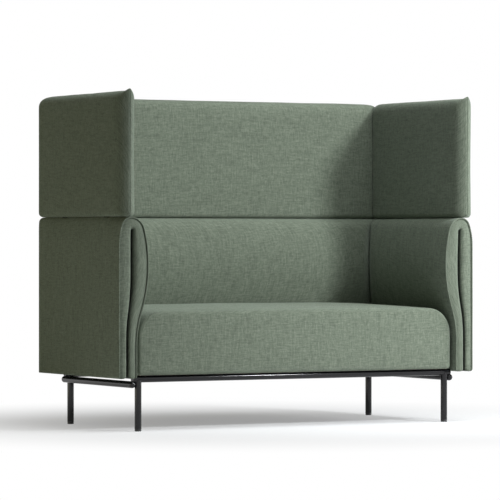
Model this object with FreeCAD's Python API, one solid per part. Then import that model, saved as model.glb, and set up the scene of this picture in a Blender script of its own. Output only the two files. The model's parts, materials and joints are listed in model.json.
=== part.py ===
import FreeCAD, Part
import math
import os

# Two-seater high-back lounge sofa: steel-tube base, seat, folded arms and back, and three screens.
# Millimetres. X runs to the viewer's right, Y to the back and Z up, with the floor at zero.

V = FreeCAD.Vector

# Overall sizes
HALF_WIDTH = 760.0  # outer face of an arm from the middle
DEPTH = 712.0  # screens' front seams to the outer face of the back
CORNER_R = 34.0  # upright rear corners, seen from above
CORNER_SHORT = 1.0  # a corner's curve starts this much later, so it meets the face at a slight angle
MITRE_GAP = 0.6  # between the pads at a rear corner
POCKET_CLEARANCE = 0.3  # round whatever a pad or the cushion holds
LEAST_R = 1.0  # smallest rounded edge
TOUCH = 1e-4  # points closer than this are one point

# Steel-tube base
TUBE_D = 25.0
TUBE_WALL = 2.0
CROSS_RAIL_Z = 190.0  # axis of the front and rear rails
SIDE_RAIL_DROP = 20.0  # axis of the side rails below the cross rails
LEG_INSET = 13.0  # leg axis inside the cushion's end
LEG_FRONT_SETBACK = 30.0  # front leg axis behind the cushion's front
LEG_REAR_OVERHANG = 12.0  # rear leg axis behind the cushion's rear
WELD_BITE = 1.0  # how deep a side rail is let into a leg's flank
COPE_TIP = 3.0  # a leg's coped top stops this far below the rail's axis
VENT_D = 6.0  # vent under each closed side rail

# Levelling feet
FOOT_H = 8.0
FOOT_EDGE = 1.5  # bevel round the foot's lower edge
FOOT_INSET = 0.5  # foot's rim inside the leg's rim
STUD_D = 8.0
STUD_L = 32.0
STUD_CLEARANCE = 0.05  # radial, between stud and insert
INSERT_L = 26.0
INSERT_FLANGE_T = 2.0
INSERT_CLEARANCE = 0.1  # radial, between insert and leg

# Tabs and screws that hold the seat to the base
TAB_T = 5.0
TAB_W = 40.0
TAB_LAP = 6.0  # a tab's welded edge from the rail's axis
TAB_END = 18.0  # tab beyond its screw
SCREW_D = 5.0
SCREW_HEAD_D = 10.0
SCREW_HEAD_H = 3.0
SCREW_CLEARANCE = 0.1  # radial, round a screw or bolt
TAB_SCREW_L = 40.0
SCREW_SHORT = 2.0  # a board screw's tip inside the board's far face

# Seat
SEAT_SETBACK = 17.0  # cushion front behind the arm fronts
SEAT_SIDE_GAP = 13.0  # cushion end to the foot of an arm
SEAT_REAR_GAP = 27.0  # cushion rear to the foot of the back
SEAT_H = 243.0  # cushion from its lower edge to the shoulder of its top
SEAT_CROWN = 4.0
SEAT_END_R = 100.0  # rounded upper ends
SEAT_FOOT_R = 14.0
SEAT_EDGE_R = 11.0  # front and rear edges
EDGE_SHARES = (0.0, 0.25, 1.0)  # where along that rounding its sections lie
SEAT_FOAM = 12.0  # cushion over the boards' outer faces
SEAT_BOARD_T = 18.0
SEAT_BOARD_H = 80.0
BRACE_H = 60.0
BLOCK_LEG = 70.0
BLOCK_SCREW_INSET = 22.0
DUST_COVER_T = 1.0
STRAP_W = 50.0
STRAP_T = 2.0
STRAP_COUNT = 9
STRAP_END_INSET = 70.0  # outer straps' middle inside the boards' inner faces

# Folded pads of the arms and back, seen end on: outer leg, fold and bulging inner leg
FOLD_DROP = 9.5  # lower edge below the top of the cross rails
FOLD_H = 587.0
FOLD_FOOT_T = 76.0
FOLD_BULGE_T = 124.0
FOLD_BULGE_H = 410.0  # widest point above the lower edge
FOLD_TOP_U = 50.0  # highest line of the fold from the outer face
FOLD_TOP_R = 38.0  # tight turn on the outer side of that line
FOLD_SHOULDER_H = 105.0  # foot of the long outer curve below the top
FOLD_SHOULDER_OUT = 0.1  # and outside the outer face, which it so meets at a slight angle
FOLD_BULGE_R = 520.0
FOLD_WAIST_R = 370.0
FOLD_FOOT_R = 10.0
FOLD_RIM_R = 5.0  # rounded edge of the arm's front face
SLIT_W = 8.0
SLIT_FOOT_U = 37.0  # slit's middle from the outer face, low down
SLIT_TOP_U = 57.0  # and high up
SLIT_LOW_H = 137.0  # end of the lower straight stretch
SLIT_HIGH_H = 367.0  # start of the upper straight stretch
SLIT_H = 542.0

# Boards inside the folded pads
BOARD_T = 12.0
OUTER_FOAM = 8.0  # pad outside the outer board
INNER_FOAM = 10.0  # pad on the seat side of the inner board
BOARD_LIFT = 13.0  # boards above the pad's lower edge
OUTER_BOARD_H = 509.0
INNER_BOARD_H = 194.0
BOARD_FRONT_FOAM = 30.0  # pad ahead of an arm's boards
BATTEN_LIFT = 17.0
BATTEN_H = 35.0
BATTEN_FRONT_INSET = 60.0
CORNER_STEP = 5.0  # inner boards and battens stop this far short of each other

# Bolts and sleeves between the seat frame and the inner boards
BOLT_D = 8.0
BOLT_HEAD_D = 14.0
BOLT_HEAD_H = 5.0
BOLT_LIFT = 61.5  # above the seat boards' lower edge
SLEEVE_D = 16.0
ARM_BOLT_FROM_BLOCK = 40.0  # beyond the seat's corner blocks
BACK_BOLT_FROM_BLOCK = 65.0
BACK_BOLT_PITCH = 300.0  # from an outer bolt to the next one in

# Screens
TIER_GAP = 2.0  # above the fold
SCREEN_T = 72.0
SCREEN_H = 454.0
SCREEN_OVERHANG = 18.0  # front seam ahead of the arm's front
SCREEN_NOSE_L = 48.0  # stretch over which the pad tapers to its front seam
NOSE_SHARES = (0.0, 0.12, 0.35, 0.65, 1.0)  # where along that stretch its sections lie
SCREEN_SEAM_W = 3.0
SCREEN_TOP_R = 30.0
SCREEN_FOOT_R = 15.0
EDGE_FLAT = 0.6  # least flat left between two rounded edges
EAR_H = 7.0  # pinched front corner above the top edge
EAR_L = 30.0
NOSE_FOOT_R = 20.0  # lower front corner, seen from the side
END_L = 34.0  # stretch over which a pad rounds off to its mitre
END_SHARES = (1.0, 0.45, 0.15, 0.0)  # where along that stretch its sections lie
NOTCH_DEPTH = 12.0
END_EASE = 12.0  # inner face drawn in at the mitre
SCREEN_BOARD_T = 15.0
SCREEN_BOARD_LIFT = 18.0
SCREEN_BOARD_H = 400.0
SCREEN_BOARD_FRONT = 60.0  # board's end behind the front seam

# Posts that carry the screens
POST_T = 6.0
POST_W = 40.0
POST_BELOW = 220.0  # below the top of the fold
POST_ABOVE = 200.0
POST_SCREW_INSET = 40.0  # first screw from a post's end
POST_SCREW_PITCH = 80.0
SIDE_POST_FROM_FRONT = 140.0
SIDE_POST_FROM_REAR = 210.0
BACK_POST_FROM_END = 260.0  # outer posts from the arms' outer faces

# Angle brackets in the rear corners
BRACKET_T = 4.0
BRACKET_LEG = 50.0
BRACKET_H = 40.0
BRACKET_SCREW_IN = 32.0  # screw from the bracket's heel
LOWER_BRACKET_LIFTS = (93.0, 423.0)  # above the fold's lower edge
UPPER_BRACKET_LIFTS = (70.0, 330.0)  # above the screen's lower edge

# Places that follow from the sizes
back_y = DEPTH / 2
screen_front_y = -DEPTH / 2
arm_front_y = screen_front_y + SCREEN_OVERHANG
tube_r = TUBE_D / 2
rail_top_z = CROSS_RAIL_Z + tube_r
side_rail_z = CROSS_RAIL_Z - SIDE_RAIL_DROP
fold_z = rail_top_z - FOLD_DROP
fold_top_z = fold_z + FOLD_H
screen_z = fold_top_z + TIER_GAP
screen_top_z = screen_z + SCREEN_H

seat_half = HALF_WIDTH - FOLD_FOOT_T - SEAT_SIDE_GAP
seat_front_y = arm_front_y + SEAT_SETBACK
seat_rear_y = back_y - FOLD_FOOT_T - SEAT_REAR_GAP
seat_z = rail_top_z + DUST_COVER_T
seat_board_top_z = seat_z + SEAT_BOARD_H
frame_half = seat_half - SEAT_FOAM
frame_front_y = seat_front_y + SEAT_FOAM
frame_rear_y = seat_rear_y - SEAT_FOAM
bay_half = frame_half - SEAT_BOARD_T
bay_front_y = frame_front_y + SEAT_BOARD_T
bay_rear_y = frame_rear_y - SEAT_BOARD_T

leg_x = seat_half - LEG_INSET
leg_front_y = seat_front_y + LEG_FRONT_SETBACK
leg_rear_y = seat_rear_y + LEG_REAR_OVERHANG
side_rail_x = leg_x + TUBE_D - WELD_BITE

outer_board_u = OUTER_FOAM + BOARD_T
inner_board_u = FOLD_FOOT_T - INNER_FOAM
batten_u = inner_board_u - BOARD_T
board_z = fold_z + BOARD_LIFT
arm_board_front_y = arm_front_y + BOARD_FRONT_FOAM
screen_board_u = outer_board_u + POST_T
screen_bracket_u = screen_board_u + SCREEN_BOARD_T
bolt_z = seat_z + BOLT_LIFT
arm_bolt_inset = BLOCK_LEG + ARM_BOLT_FROM_BLOCK
arm_bolt_y = (bay_front_y + arm_bolt_inset, bay_rear_y - arm_bolt_inset)
back_bolt_outer = bay_half - BLOCK_LEG - BACK_BOLT_FROM_BLOCK
back_bolt_inner = back_bolt_outer - BACK_BOLT_PITCH
back_bolt_x = (-back_bolt_outer, -back_bolt_inner, back_bolt_inner, back_bolt_outer)
side_post_y = (arm_front_y + SIDE_POST_FROM_FRONT, back_y - SIDE_POST_FROM_REAR)
back_post_outer = HALF_WIDTH - BACK_POST_FROM_END
back_post_x = (-back_post_outer, 0.0, back_post_outer)
post_z = (fold_top_z - POST_BELOW, fold_top_z + POST_ABOVE)
mitre_step = MITRE_GAP / math.sqrt(2)


# Flat outlines: arcs in order, joined by straight runs wherever two of them don't meet


def polar(centre, radius, angle):
    turn = math.radians(angle)
    return (centre[0] + radius * math.cos(turn), centre[1] + radius * math.sin(turn))


def arc(centre, radius, start, end):
    return [polar(centre, radius, angle) for angle in (start, (start + end) / 2, end)]


def outline_edges(arcs, place):
    """The outline's arcs and straight runs in order, each point put into space by place."""
    edges = []
    for now, following in zip(arcs, arcs[1:] + arcs[:1]):
        start, middle, end = (place(*point) for point in now)
        edges.append(Part.Arc(start, middle, end).toShape())
        onward = place(*following[0])
        if end.distanceToPoint(onward) > TOUCH:
            edges.append(Part.LineSegment(end, onward).toShape())
    return edges


def skinned(stations):
    """A solid with straight-ruled sides through outlines that have the same runs in the same order."""
    faces = [Part.Face(Part.Wire(edges)) for edges in (stations[0], stations[-1])]
    for now, following in zip(stations, stations[1:]):
        faces += [Part.makeRuledSurface(one, other) for one, other in zip(now, following)]
    shell = Part.makeShell(faces)
    shell.sewShape()
    solid = Part.makeSolid(shell)
    if solid.Volume < 0:
        solid.reverse()
    return solid


def prism(arcs, place, run):
    return Part.Face(Part.Wire(outline_edges(arcs, place))).extrude(run)


def flat_prism(points, run):
    return Part.Face(Part.makePolygon(points + points[:1])).extrude(run)


# Places in an arm or the back: u is the distance in from the outer face


def in_left(u, y, z):
    return V(-HALF_WIDTH + u, y, z)


def in_back(x, u, z):
    return V(x, back_y - u, z)


# Simple solids


def box(low, high, grow=0.0):
    """A block, or the room for one: wider all round and below, so that a pad still sits on its top."""
    size = high - low
    corner = low - V(grow, grow, grow)
    return Part.makeBox(size.x + 2 * grow, size.y + 2 * grow, size.z + grow, corner)


def left_box(u, y, z, grow=0.0):
    return box(in_left(u[0], y[0], z[0]), in_left(u[1], y[1], z[1]), grow)


def back_box(x, u, z, grow=0.0):
    return box(in_back(x[0], u[1], z[0]), in_back(x[1], u[0], z[1]), grow)


def rod(radius, start, end):
    run = end - start
    return Part.makeCylinder(radius, run.Length, start, run)


def capsule(radius, start, end):
    ends = [Part.makeSphere(radius, point) for point in (start, end)]
    return rod(radius, start, end).fuse(ends).removeSplitter()


def headed(seat_point, along, shank_d, shank_l, head_d, head_h, grow=0.0):
    """A screw or bolt whose head sits on seat_point and whose shank runs along the given way."""
    back = seat_point - along * (head_h + grow)
    head = rod(head_d / 2 + grow, back, seat_point)
    shank = rod(shank_d / 2 + grow, seat_point, seat_point + along * shank_l)
    return head.fuse(shank)


def screw(seat_point, along, length, grow=0.0):
    return headed(seat_point, along, SCREW_D, length, SCREW_HEAD_D, SCREW_HEAD_H, grow)


def mirrored(shape):
    return shape.mirror(V(0, 0, 0), V(1, 0, 0))


def both_sides(shapes):
    return list(shapes) + [mirrored(shape) for shape in shapes]


# Steel-tube base


def cross_rail_body(y, radius, short=0.0):
    half = side_rail_x - short
    return rod(radius, V(-half, y, CROSS_RAIL_Z), V(half, y, CROSS_RAIL_Z))


def side_rail_body(radius):
    return capsule(
        radius,
        V(-side_rail_x, leg_front_y, side_rail_z),
        V(-side_rail_x, leg_rear_y, side_rail_z),
    )


def make_cross_rail(y):
    """A capped tube whose ends are let down over the side rails."""
    tube = cross_rail_body(y, tube_r).cut(cross_rail_body(y, tube_r - TUBE_WALL, TUBE_WALL))
    return tube.cut(both_sides([side_rail_body(tube_r)]))


def make_left_side_rail():
    """A tube with domed ends and a vent on its underside."""
    middle = V(-side_rail_x, (leg_front_y + leg_rear_y) / 2, side_rail_z)
    vent = rod(VENT_D / 2, middle - V(0, 0, TUBE_D), middle)
    return side_rail_body(tube_r).cut([side_rail_body(tube_r - TUBE_WALL), vent])


def make_left_leg(y):
    """A tube coped to the cross rail above it and to the side rail on its flank."""
    low = V(-leg_x, y, FOOT_H + INSERT_FLANGE_T)
    high = V(-leg_x, y, CROSS_RAIL_Z - COPE_TIP)
    tube = rod(tube_r, low, high).cut(rod(tube_r - TUBE_WALL, low, high))
    return tube.cut([cross_rail_body(y, tube_r), side_rail_body(tube_r)])


def make_left_insert(y):
    low = V(-leg_x, y, FOOT_H)
    flange = rod(tube_r, low, low + V(0, 0, INSERT_FLANGE_T))
    plug = rod(tube_r - TUBE_WALL - INSERT_CLEARANCE, low, low + V(0, 0, INSERT_L))
    bore = rod(STUD_D / 2 + STUD_CLEARANCE, low, low + V(0, 0, INSERT_L))
    return flange.fuse(plug).cut(bore)


def make_left_foot(y):
    """A foot with a bevelled lower edge and the stud that screws into the leg."""
    floor = V(-leg_x, y, 0)
    radius = tube_r - FOOT_INSET
    bevel = Part.makeCone(radius - FOOT_EDGE, radius, FOOT_EDGE, floor)
    rim = rod(radius, floor + V(0, 0, FOOT_EDGE), floor + V(0, 0, FOOT_H))
    stud = rod(STUD_D / 2, floor + V(0, 0, FOOT_H), floor + V(0, 0, FOOT_H + STUD_L))
    return bevel.fuse([rim, stud]).removeSplitter()


# Tabs that tie the base to the seat's corner blocks

tab_x = bay_half - BLOCK_SCREW_INSET
tab_ends = (
    (leg_front_y, bay_front_y + BLOCK_SCREW_INSET, 1),
    (leg_rear_y, bay_rear_y - BLOCK_SCREW_INSET, -1),
)


def tab_screw_place(screw_y):
    return V(-tab_x, screw_y, rail_top_z - TAB_T)


def make_left_tab(rail_y, screw_y, way):
    ends = sorted((rail_y + way * TAB_LAP, screw_y + way * TAB_END))
    low = V(-tab_x - TAB_W / 2, ends[0], rail_top_z - TAB_T)
    high = V(-tab_x + TAB_W / 2, ends[1], rail_top_z)
    hole = screw_hole(tab_screw_place(screw_y), V(0, 0, 1), TAB_SCREW_L)
    return box(low, high).cut([cross_rail_body(rail_y, tube_r), hole])


def screw_hole(seat_point, along, length):
    return rod(SCREW_D / 2 + SCREW_CLEARANCE, seat_point, seat_point + along * length)


# Seat frame


def make_long_board(front_y):
    low = V(-frame_half, front_y, seat_z)
    return box(low, V(frame_half, front_y + SEAT_BOARD_T, seat_board_top_z))


def make_left_seat_board():
    low = V(-frame_half, bay_front_y, seat_z)
    return box(low, V(-bay_half, bay_rear_y, seat_board_top_z))


def make_brace():
    half = SEAT_BOARD_T / 2
    return box(V(-half, bay_front_y, seat_z), V(half, bay_rear_y, seat_z + BRACE_H))


def make_left_corner_block(corner_y, screw_y, way):
    """A three-cornered block glued into a corner of the seat frame."""
    corner = V(-bay_half, corner_y, seat_z)
    points = [corner, corner + V(BLOCK_LEG, 0, 0), corner + V(0, way * BLOCK_LEG, 0)]
    block = flat_prism(points, V(0, 0, SEAT_BOARD_H))
    return block.cut(screw_hole(tab_screw_place(screw_y), V(0, 0, 1), TAB_SCREW_L))


def make_dust_cover():
    sheet = box(V(-frame_half, frame_front_y, rail_top_z), V(frame_half, frame_rear_y, seat_z))
    holes = [screw_hole(tab_screw_place(ends[1]), V(0, 0, 1), TAB_SCREW_L) for ends in tab_ends]
    return sheet.cut(both_sides(holes))


def make_straps():
    reach = bay_half - STRAP_END_INSET
    pitch = 2 * reach / (STRAP_COUNT - 1)
    straps = []
    for index in range(STRAP_COUNT):
        left = -reach + index * pitch - STRAP_W / 2
        low = V(left, frame_front_y, seat_board_top_z)
        high = V(left + STRAP_W, frame_rear_y, seat_board_top_z + STRAP_T)
        straps.append(box(low, high))
    return straps


# Seat cushion: a crowned block, rounded at its upper ends, over the boards and straps


def seat_outline(inset, lift):
    """The cushion seen from the front, drawn in all round by inset, its crown raised by lift."""
    half = seat_half - inset
    low = seat_z + inset
    shoulder = seat_z + SEAT_H - inset
    foot = max(SEAT_FOOT_R - inset, LEAST_R)
    top_r = SEAT_END_R - inset
    crown = [
        (seat_half - SEAT_END_R, shoulder),
        (0, shoulder + SEAT_CROWN + lift),
        (-seat_half + SEAT_END_R, shoulder),
    ]
    return [
        arc((half - top_r, shoulder - top_r), top_r, 0, 90),
        crown,
        arc((-half + top_r, shoulder - top_r), top_r, 90, 180),
        arc((-half + foot, low + foot), foot, 180, 270),
        arc((half - foot, low + foot), foot, 270, 360),
    ]


def seat_station(y, inset, lift):
    return outline_edges(seat_outline(inset, lift), lambda x, z: V(x, y, z))


def rounding(distance, radius):
    """How far a quarter-round edge still stands in, at a distance from its end."""
    left = max(radius - distance, 0.0)
    return radius - math.sqrt(radius * radius - left * left)


def make_cushion():
    edge_steps = [share * SEAT_EDGE_R for share in EDGE_SHARES]
    stations = [(seat_front_y + step, rounding(step, SEAT_EDGE_R), 0.0) for step in edge_steps]
    stations.append(((seat_front_y + seat_rear_y) / 2, 0.0, SEAT_CROWN / 2))
    stations += [(seat_rear_y - step, rounding(step, SEAT_EDGE_R), 0.0) for step in edge_steps[::-1]]
    body = skinned([seat_station(*station) for station in stations])
    gap = POCKET_CLEARANCE
    pocket = box(
        V(-frame_half - gap, frame_front_y - gap, seat_z - gap),
        V(frame_half + gap, frame_rear_y + gap, seat_board_top_z + STRAP_T),
    )
    return body.cut([pocket] + all_sleeves(gap))


# Bolts and sleeves from the seat frame to the inner boards of the arms and back


def left_bolt_line(y):
    """Where an arm's bolt head sits, where its sleeve starts and ends, and the bolt's end."""
    marks = (-bay_half, -frame_half, -HALF_WIDTH + inner_board_u, -HALF_WIDTH + batten_u)
    return [V(x, y, bolt_z) for x in marks]


def back_bolt_line(x):
    marks = (bay_rear_y, frame_rear_y, back_y - inner_board_u, back_y - batten_u)
    return [V(x, y, bolt_z) for y in marks]


def bolt(line, grow=0.0):
    run = line[3] - line[0]
    along = V(run).normalize()
    return headed(line[0], along, BOLT_D, run.Length, BOLT_HEAD_D, BOLT_HEAD_H, grow)


def bolt_hole(line):
    return rod(BOLT_D / 2 + SCREW_CLEARANCE, line[0], line[3])


def sleeve(line, grow=0.0):
    return rod(SLEEVE_D / 2 + grow, line[1], line[2])


def all_sleeves(grow):
    arms = [sleeve(left_bolt_line(y), grow) for y in arm_bolt_y]
    return both_sides(arms) + [sleeve(back_bolt_line(x), grow) for x in back_bolt_x]


def make_sleeve(line):
    return sleeve(line).cut(bolt_hole(line))


# Folded pads


def fold_outline():
    """The pad seen end on: distance in from the outer face, and height."""
    # The outer half leans in on a long curve and turns over in a tight one
    top_in = FOLD_TOP_U + FOLD_SHOULDER_OUT
    side_r = top_in**2 + FOLD_SHOULDER_H**2 - 2 * FOLD_SHOULDER_H * FOLD_TOP_R
    side_r /= 2 * (top_in - FOLD_TOP_R)
    side_centre = (side_r - FOLD_SHOULDER_OUT, fold_top_z - FOLD_SHOULDER_H)
    face_angle = 180 - math.degrees(math.acos(side_centre[0] / side_r))
    turn_centre = (FOLD_TOP_U, fold_top_z - FOLD_TOP_R)
    turn_angle = math.degrees(math.atan2(FOLD_SHOULDER_H - FOLD_TOP_R, top_in - side_r))
    # The inner half touches both the top and the bulge
    bulge_z = fold_z + FOLD_BULGE_H
    rise = fold_top_z - bulge_z
    reach = FOLD_TOP_U + FOLD_BULGE_R - FOLD_BULGE_T
    crest_r = (FOLD_BULGE_R**2 - reach**2 - rise**2) / (2 * (FOLD_BULGE_R - rise))
    bulge_centre = (FOLD_BULGE_T - FOLD_BULGE_R, bulge_z)
    crest_centre = (FOLD_TOP_U, fold_top_z - crest_r)
    crest_angle = math.degrees(math.atan2(rise - crest_r, reach))
    # The bulge runs down into the waist, which ends upright
    swing = math.acos(1 - (FOLD_BULGE_T - FOLD_FOOT_T) / (FOLD_BULGE_R + FOLD_WAIST_R))
    waist_z = bulge_z - (FOLD_BULGE_R + FOLD_WAIST_R) * math.sin(swing)
    waist_centre = (FOLD_FOOT_T + FOLD_WAIST_R, waist_z)
    swing_angle = math.degrees(swing)
    # The slit follows two equal bends between its straight stretches
    half_slit = SLIT_W / 2
    lean = 2 * math.atan((SLIT_TOP_U - SLIT_FOOT_U) / (SLIT_HIGH_H - SLIT_LOW_H))
    slit_r = (SLIT_HIGH_H - SLIT_LOW_H) / (2 * math.sin(lean))
    low_bend = (SLIT_FOOT_U + slit_r, fold_z + SLIT_LOW_H)
    high_bend = (SLIT_TOP_U - slit_r, fold_z + SLIT_HIGH_H)
    lean_angle = math.degrees(lean)
    slit_end = (SLIT_TOP_U, fold_z + SLIT_H - half_slit)
    foot_r = FOLD_FOOT_R
    foot_z = fold_z + foot_r
    return [
        arc(side_centre, side_r, face_angle, turn_angle),
        arc(turn_centre, FOLD_TOP_R, turn_angle, 90),
        arc(crest_centre, crest_r, 90, crest_angle),
        arc(bulge_centre, FOLD_BULGE_R, crest_angle, -swing_angle),
        arc(waist_centre, FOLD_WAIST_R, 180 - swing_angle, 180),
        arc((FOLD_FOOT_T - foot_r, foot_z), foot_r, 0, -90),
        arc((SLIT_FOOT_U + half_slit + foot_r, foot_z), foot_r, -90, -180),
        arc(low_bend, slit_r - half_slit, 180, 180 - lean_angle),
        arc(high_bend, slit_r + half_slit, -lean_angle, 0),
        arc(slit_end, half_slit, 0, 90),
        arc(slit_end, half_slit, 90, 180),
        arc(high_bend, slit_r - half_slit, 0, -lean_angle),
        arc(low_bend, slit_r + half_slit, 180 - lean_angle, 180),
        arc((SLIT_FOOT_U - half_slit - foot_r, foot_z), foot_r, 0, -90),
        arc((foot_r, foot_z), foot_r, -90, -180),
    ]


def corner_angle(step):
    """Turn along the upright corner's arc at which a pad stands this far from the mitre."""
    return math.degrees(math.acos(step / (CORNER_R * math.sqrt(2)))) - 45


def corner_in(step):
    """Distance of the upright corner's arc in from the outer face, at a step from the mitre."""
    return CORNER_R * (1 - math.cos(math.radians(corner_angle(step))))


def left_plan(depth):
    """The left pad's room seen from above: mitred and rounded at the rear corner."""
    mitre = corner_in(mitre_step)
    turn = corner_angle(mitre_step) / 2
    middle = (CORNER_R * (1 - math.cos(math.radians(turn))), CORNER_R * (1 - math.sin(math.radians(turn))))
    ends = [(0.0, CORNER_R - CORNER_SHORT), middle, (mitre, mitre + mitre_step)]
    curve = Part.Arc(*[in_left(u, back_y - v, fold_z) for u, v in ends]).toShape()
    corners = [
        ends[2],
        (depth, depth + mitre_step),
        (depth, back_y - arm_front_y),
        (0.0, back_y - arm_front_y),
        ends[0],
    ]
    points = [in_left(u, back_y - v, fold_z) for u, v in corners]
    edges = [Part.LineSegment(p, q).toShape() for p, q in zip(points, points[1:])]
    return Part.Face(Part.Wire([curve] + edges)).extrude(V(0, 0, FOLD_H))


def left_arm_blank():
    depth = back_y - arm_front_y
    body = prism(fold_outline(), lambda u, z: in_left(u, arm_front_y, z), V(0, depth, 0))
    body = body.common(left_plan(FOLD_BULGE_T + FOLD_RIM_R))
    rim = [e for e in body.Edges if all(abs(v.Y - arm_front_y) < TOUCH for v in e.Vertexes)]
    return body.makeFillet(FOLD_RIM_R, rim)


def back_blank():
    half = HALF_WIDTH
    body = prism(fold_outline(), lambda u, z: in_back(-half, u, z), V(2 * half, 0, 0))
    return body.common(back_plan(FOLD_BULGE_T + FOLD_RIM_R))


def back_plan(depth):
    """The back pad's room seen from above, between the two mitres."""
    mitre = corner_in(mitre_step)
    turn = corner_angle(mitre_step) / 2
    middle = (CORNER_R * (1 - math.sin(math.radians(turn))), CORNER_R * (1 - math.cos(math.radians(turn))))
    left = [(mitre + mitre_step, mitre), middle, (CORNER_R - CORNER_SHORT, 0.0)]
    left_points = [V(-HALF_WIDTH + v, back_y - u, fold_z) for v, u in left]
    right_points = [V(-p.x, p.y, p.z) for p in left_points[::-1]]
    inner = V(-HALF_WIDTH + depth + mitre_step, back_y - depth, fold_z)
    run = [right_points[2], V(-inner.x, inner.y, inner.z), inner, left_points[0]]
    edges = [Part.Arc(*left_points).toShape()]
    edges.append(Part.LineSegment(left_points[2], right_points[0]).toShape())
    edges.append(Part.Arc(*right_points).toShape())
    edges += [Part.LineSegment(p, q).toShape() for p, q in zip(run, run[1:])]
    return Part.Face(Part.Wire(edges)).extrude(V(0, 0, FOLD_H))


# Boards and battens inside the folded pads


def left_outer_board(grow=0.0):
    y = (arm_board_front_y, back_y - outer_board_u)
    return left_box((OUTER_FOAM, outer_board_u), y, (board_z, board_z + OUTER_BOARD_H), grow)


def left_inner_board(grow=0.0):
    y = (arm_board_front_y, back_y - inner_board_u - CORNER_STEP)
    return left_box((batten_u, inner_board_u), y, (board_z, board_z + INNER_BOARD_H), grow)


def left_batten(grow=0.0):
    y = (arm_front_y + BATTEN_FRONT_INSET, back_y - batten_u - CORNER_STEP)
    z = (fold_z + BATTEN_LIFT, fold_z + BATTEN_LIFT + BATTEN_H)
    return left_box((outer_board_u, batten_u), y, z, grow)


def back_outer_board(grow=0.0):
    half = HALF_WIDTH - outer_board_u
    return back_box((-half, half), (OUTER_FOAM, outer_board_u), (board_z, board_z + OUTER_BOARD_H), grow)


def back_inner_board(grow=0.0):
    half = HALF_WIDTH - inner_board_u - CORNER_STEP
    return back_box((-half, half), (batten_u, inner_board_u), (board_z, board_z + INNER_BOARD_H), grow)


def back_batten(grow=0.0):
    half = HALF_WIDTH - batten_u - CORNER_STEP
    z = (fold_z + BATTEN_LIFT, fold_z + BATTEN_LIFT + BATTEN_H)
    return back_box((-half, half), (outer_board_u, batten_u), z, grow)


# Screen pads: lofted from the pinched front seam to the rounded mitre


def screen_section(u, z):
    """The pad seen end on, its edges rounded as far as its thickness allows."""
    room = (u[1] - u[0] - EDGE_FLAT) / 2
    top_r = min(SCREEN_TOP_R, room)
    foot_r = min(SCREEN_FOOT_R, room)
    return [
        arc((u[1] - foot_r, z[0] + foot_r), foot_r, -90, 0),
        arc((u[1] - top_r, z[1] - top_r), top_r, 0, 90),
        arc((u[0] + top_r, z[1] - top_r), top_r, 90, 180),
        arc((u[0] + foot_r, z[0] + foot_r), foot_r, 180, 270),
    ]


def nose_sections():
    """Distances behind the front seam, and the section at each."""
    half = SCREEN_T / 2
    nose_r = (SCREEN_NOSE_L**2 + half**2) / (2 * half)
    sections = []
    for share in NOSE_SHARES:
        back = share * SCREEN_NOSE_L
        swell = half - nose_r + math.sqrt(nose_r**2 - (SCREEN_NOSE_L - back) ** 2)
        swell = max(swell, SCREEN_SEAM_W / 2)
        ear = EAR_H * max(1 - back / EAR_L, 0.0) ** 2
        z = (screen_z + rounding(back, NOSE_FOOT_R), screen_top_z + ear)
        sections.append((back, screen_section((half - swell, half + swell), z)))
    return sections


def end_sections():
    """Steps away from the mitre, and the section at each."""
    sections = []
    for share in END_SHARES:
        step = mitre_step + share * (END_L - mitre_step)
        fade = 1 - math.sqrt(1 - (1 - step / END_L) ** 2)
        u = (corner_in(step), SCREEN_T - END_EASE * fade)
        z = (screen_z + NOTCH_DEPTH * fade, screen_top_z - NOTCH_DEPTH * fade)
        sections.append((step, screen_section(u, z)))
    return sections


def left_screen_blank():
    stations = []
    for back, section in nose_sections():
        y = screen_front_y + back
        stations.append(outline_edges(section, lambda u, z: in_left(u, y, z)))
    for step, section in end_sections():
        stations.append(outline_edges(section, lambda u, z: in_left(u, back_y - u - step, z)))
    return skinned(stations)


def back_screen_blank():
    stations = []
    for step, section in end_sections()[::-1]:
        stations.append(outline_edges(section, lambda u, z: in_back(-HALF_WIDTH + u + step, u, z)))
    for step, section in end_sections():
        stations.append(outline_edges(section, lambda u, z: in_back(HALF_WIDTH - u - step, u, z)))
    return skinned(stations)


# Boards and posts of the screens

screen_board_z = (screen_z + SCREEN_BOARD_LIFT, screen_z + SCREEN_BOARD_LIFT + SCREEN_BOARD_H)


def left_screen_board(grow=0.0):
    y = (screen_front_y + SCREEN_BOARD_FRONT, back_y - screen_bracket_u)
    return left_box((screen_board_u, screen_bracket_u), y, screen_board_z, grow)


def back_screen_board(grow=0.0):
    half = HALF_WIDTH - screen_bracket_u
    return back_box((-half, half), (screen_board_u, screen_bracket_u), screen_board_z, grow)


def left_post(y, grow=0.0):
    return left_box((outer_board_u, screen_board_u), (y - POST_W / 2, y + POST_W / 2), post_z, grow)


def back_post(x, grow=0.0):
    return back_box((x - POST_W / 2, x + POST_W / 2), (outer_board_u, screen_board_u), post_z, grow)


def post_screw_marks():
    """Distance in, height and way of each screw of a post, two into each of its boards."""
    marks = []
    for index in (0, 1):
        shift = POST_SCREW_INSET + index * POST_SCREW_PITCH
        marks.append((screen_board_u, post_z[0] + shift, -1))
        marks.append((outer_board_u, post_z[1] - shift, 1))
    return marks


post_screw_l = POST_T + BOARD_T - SCREW_SHORT


def left_post_screws():
    return [
        (in_left(u, y, z), V(way, 0, 0))
        for y in side_post_y
        for u, z, way in post_screw_marks()
    ]


def back_post_screws():
    return [
        (in_back(x, u, z), V(0, -way, 0))
        for x in back_post_x
        for u, z, way in post_screw_marks()
    ]


# Angle brackets in the rear corners


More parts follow.
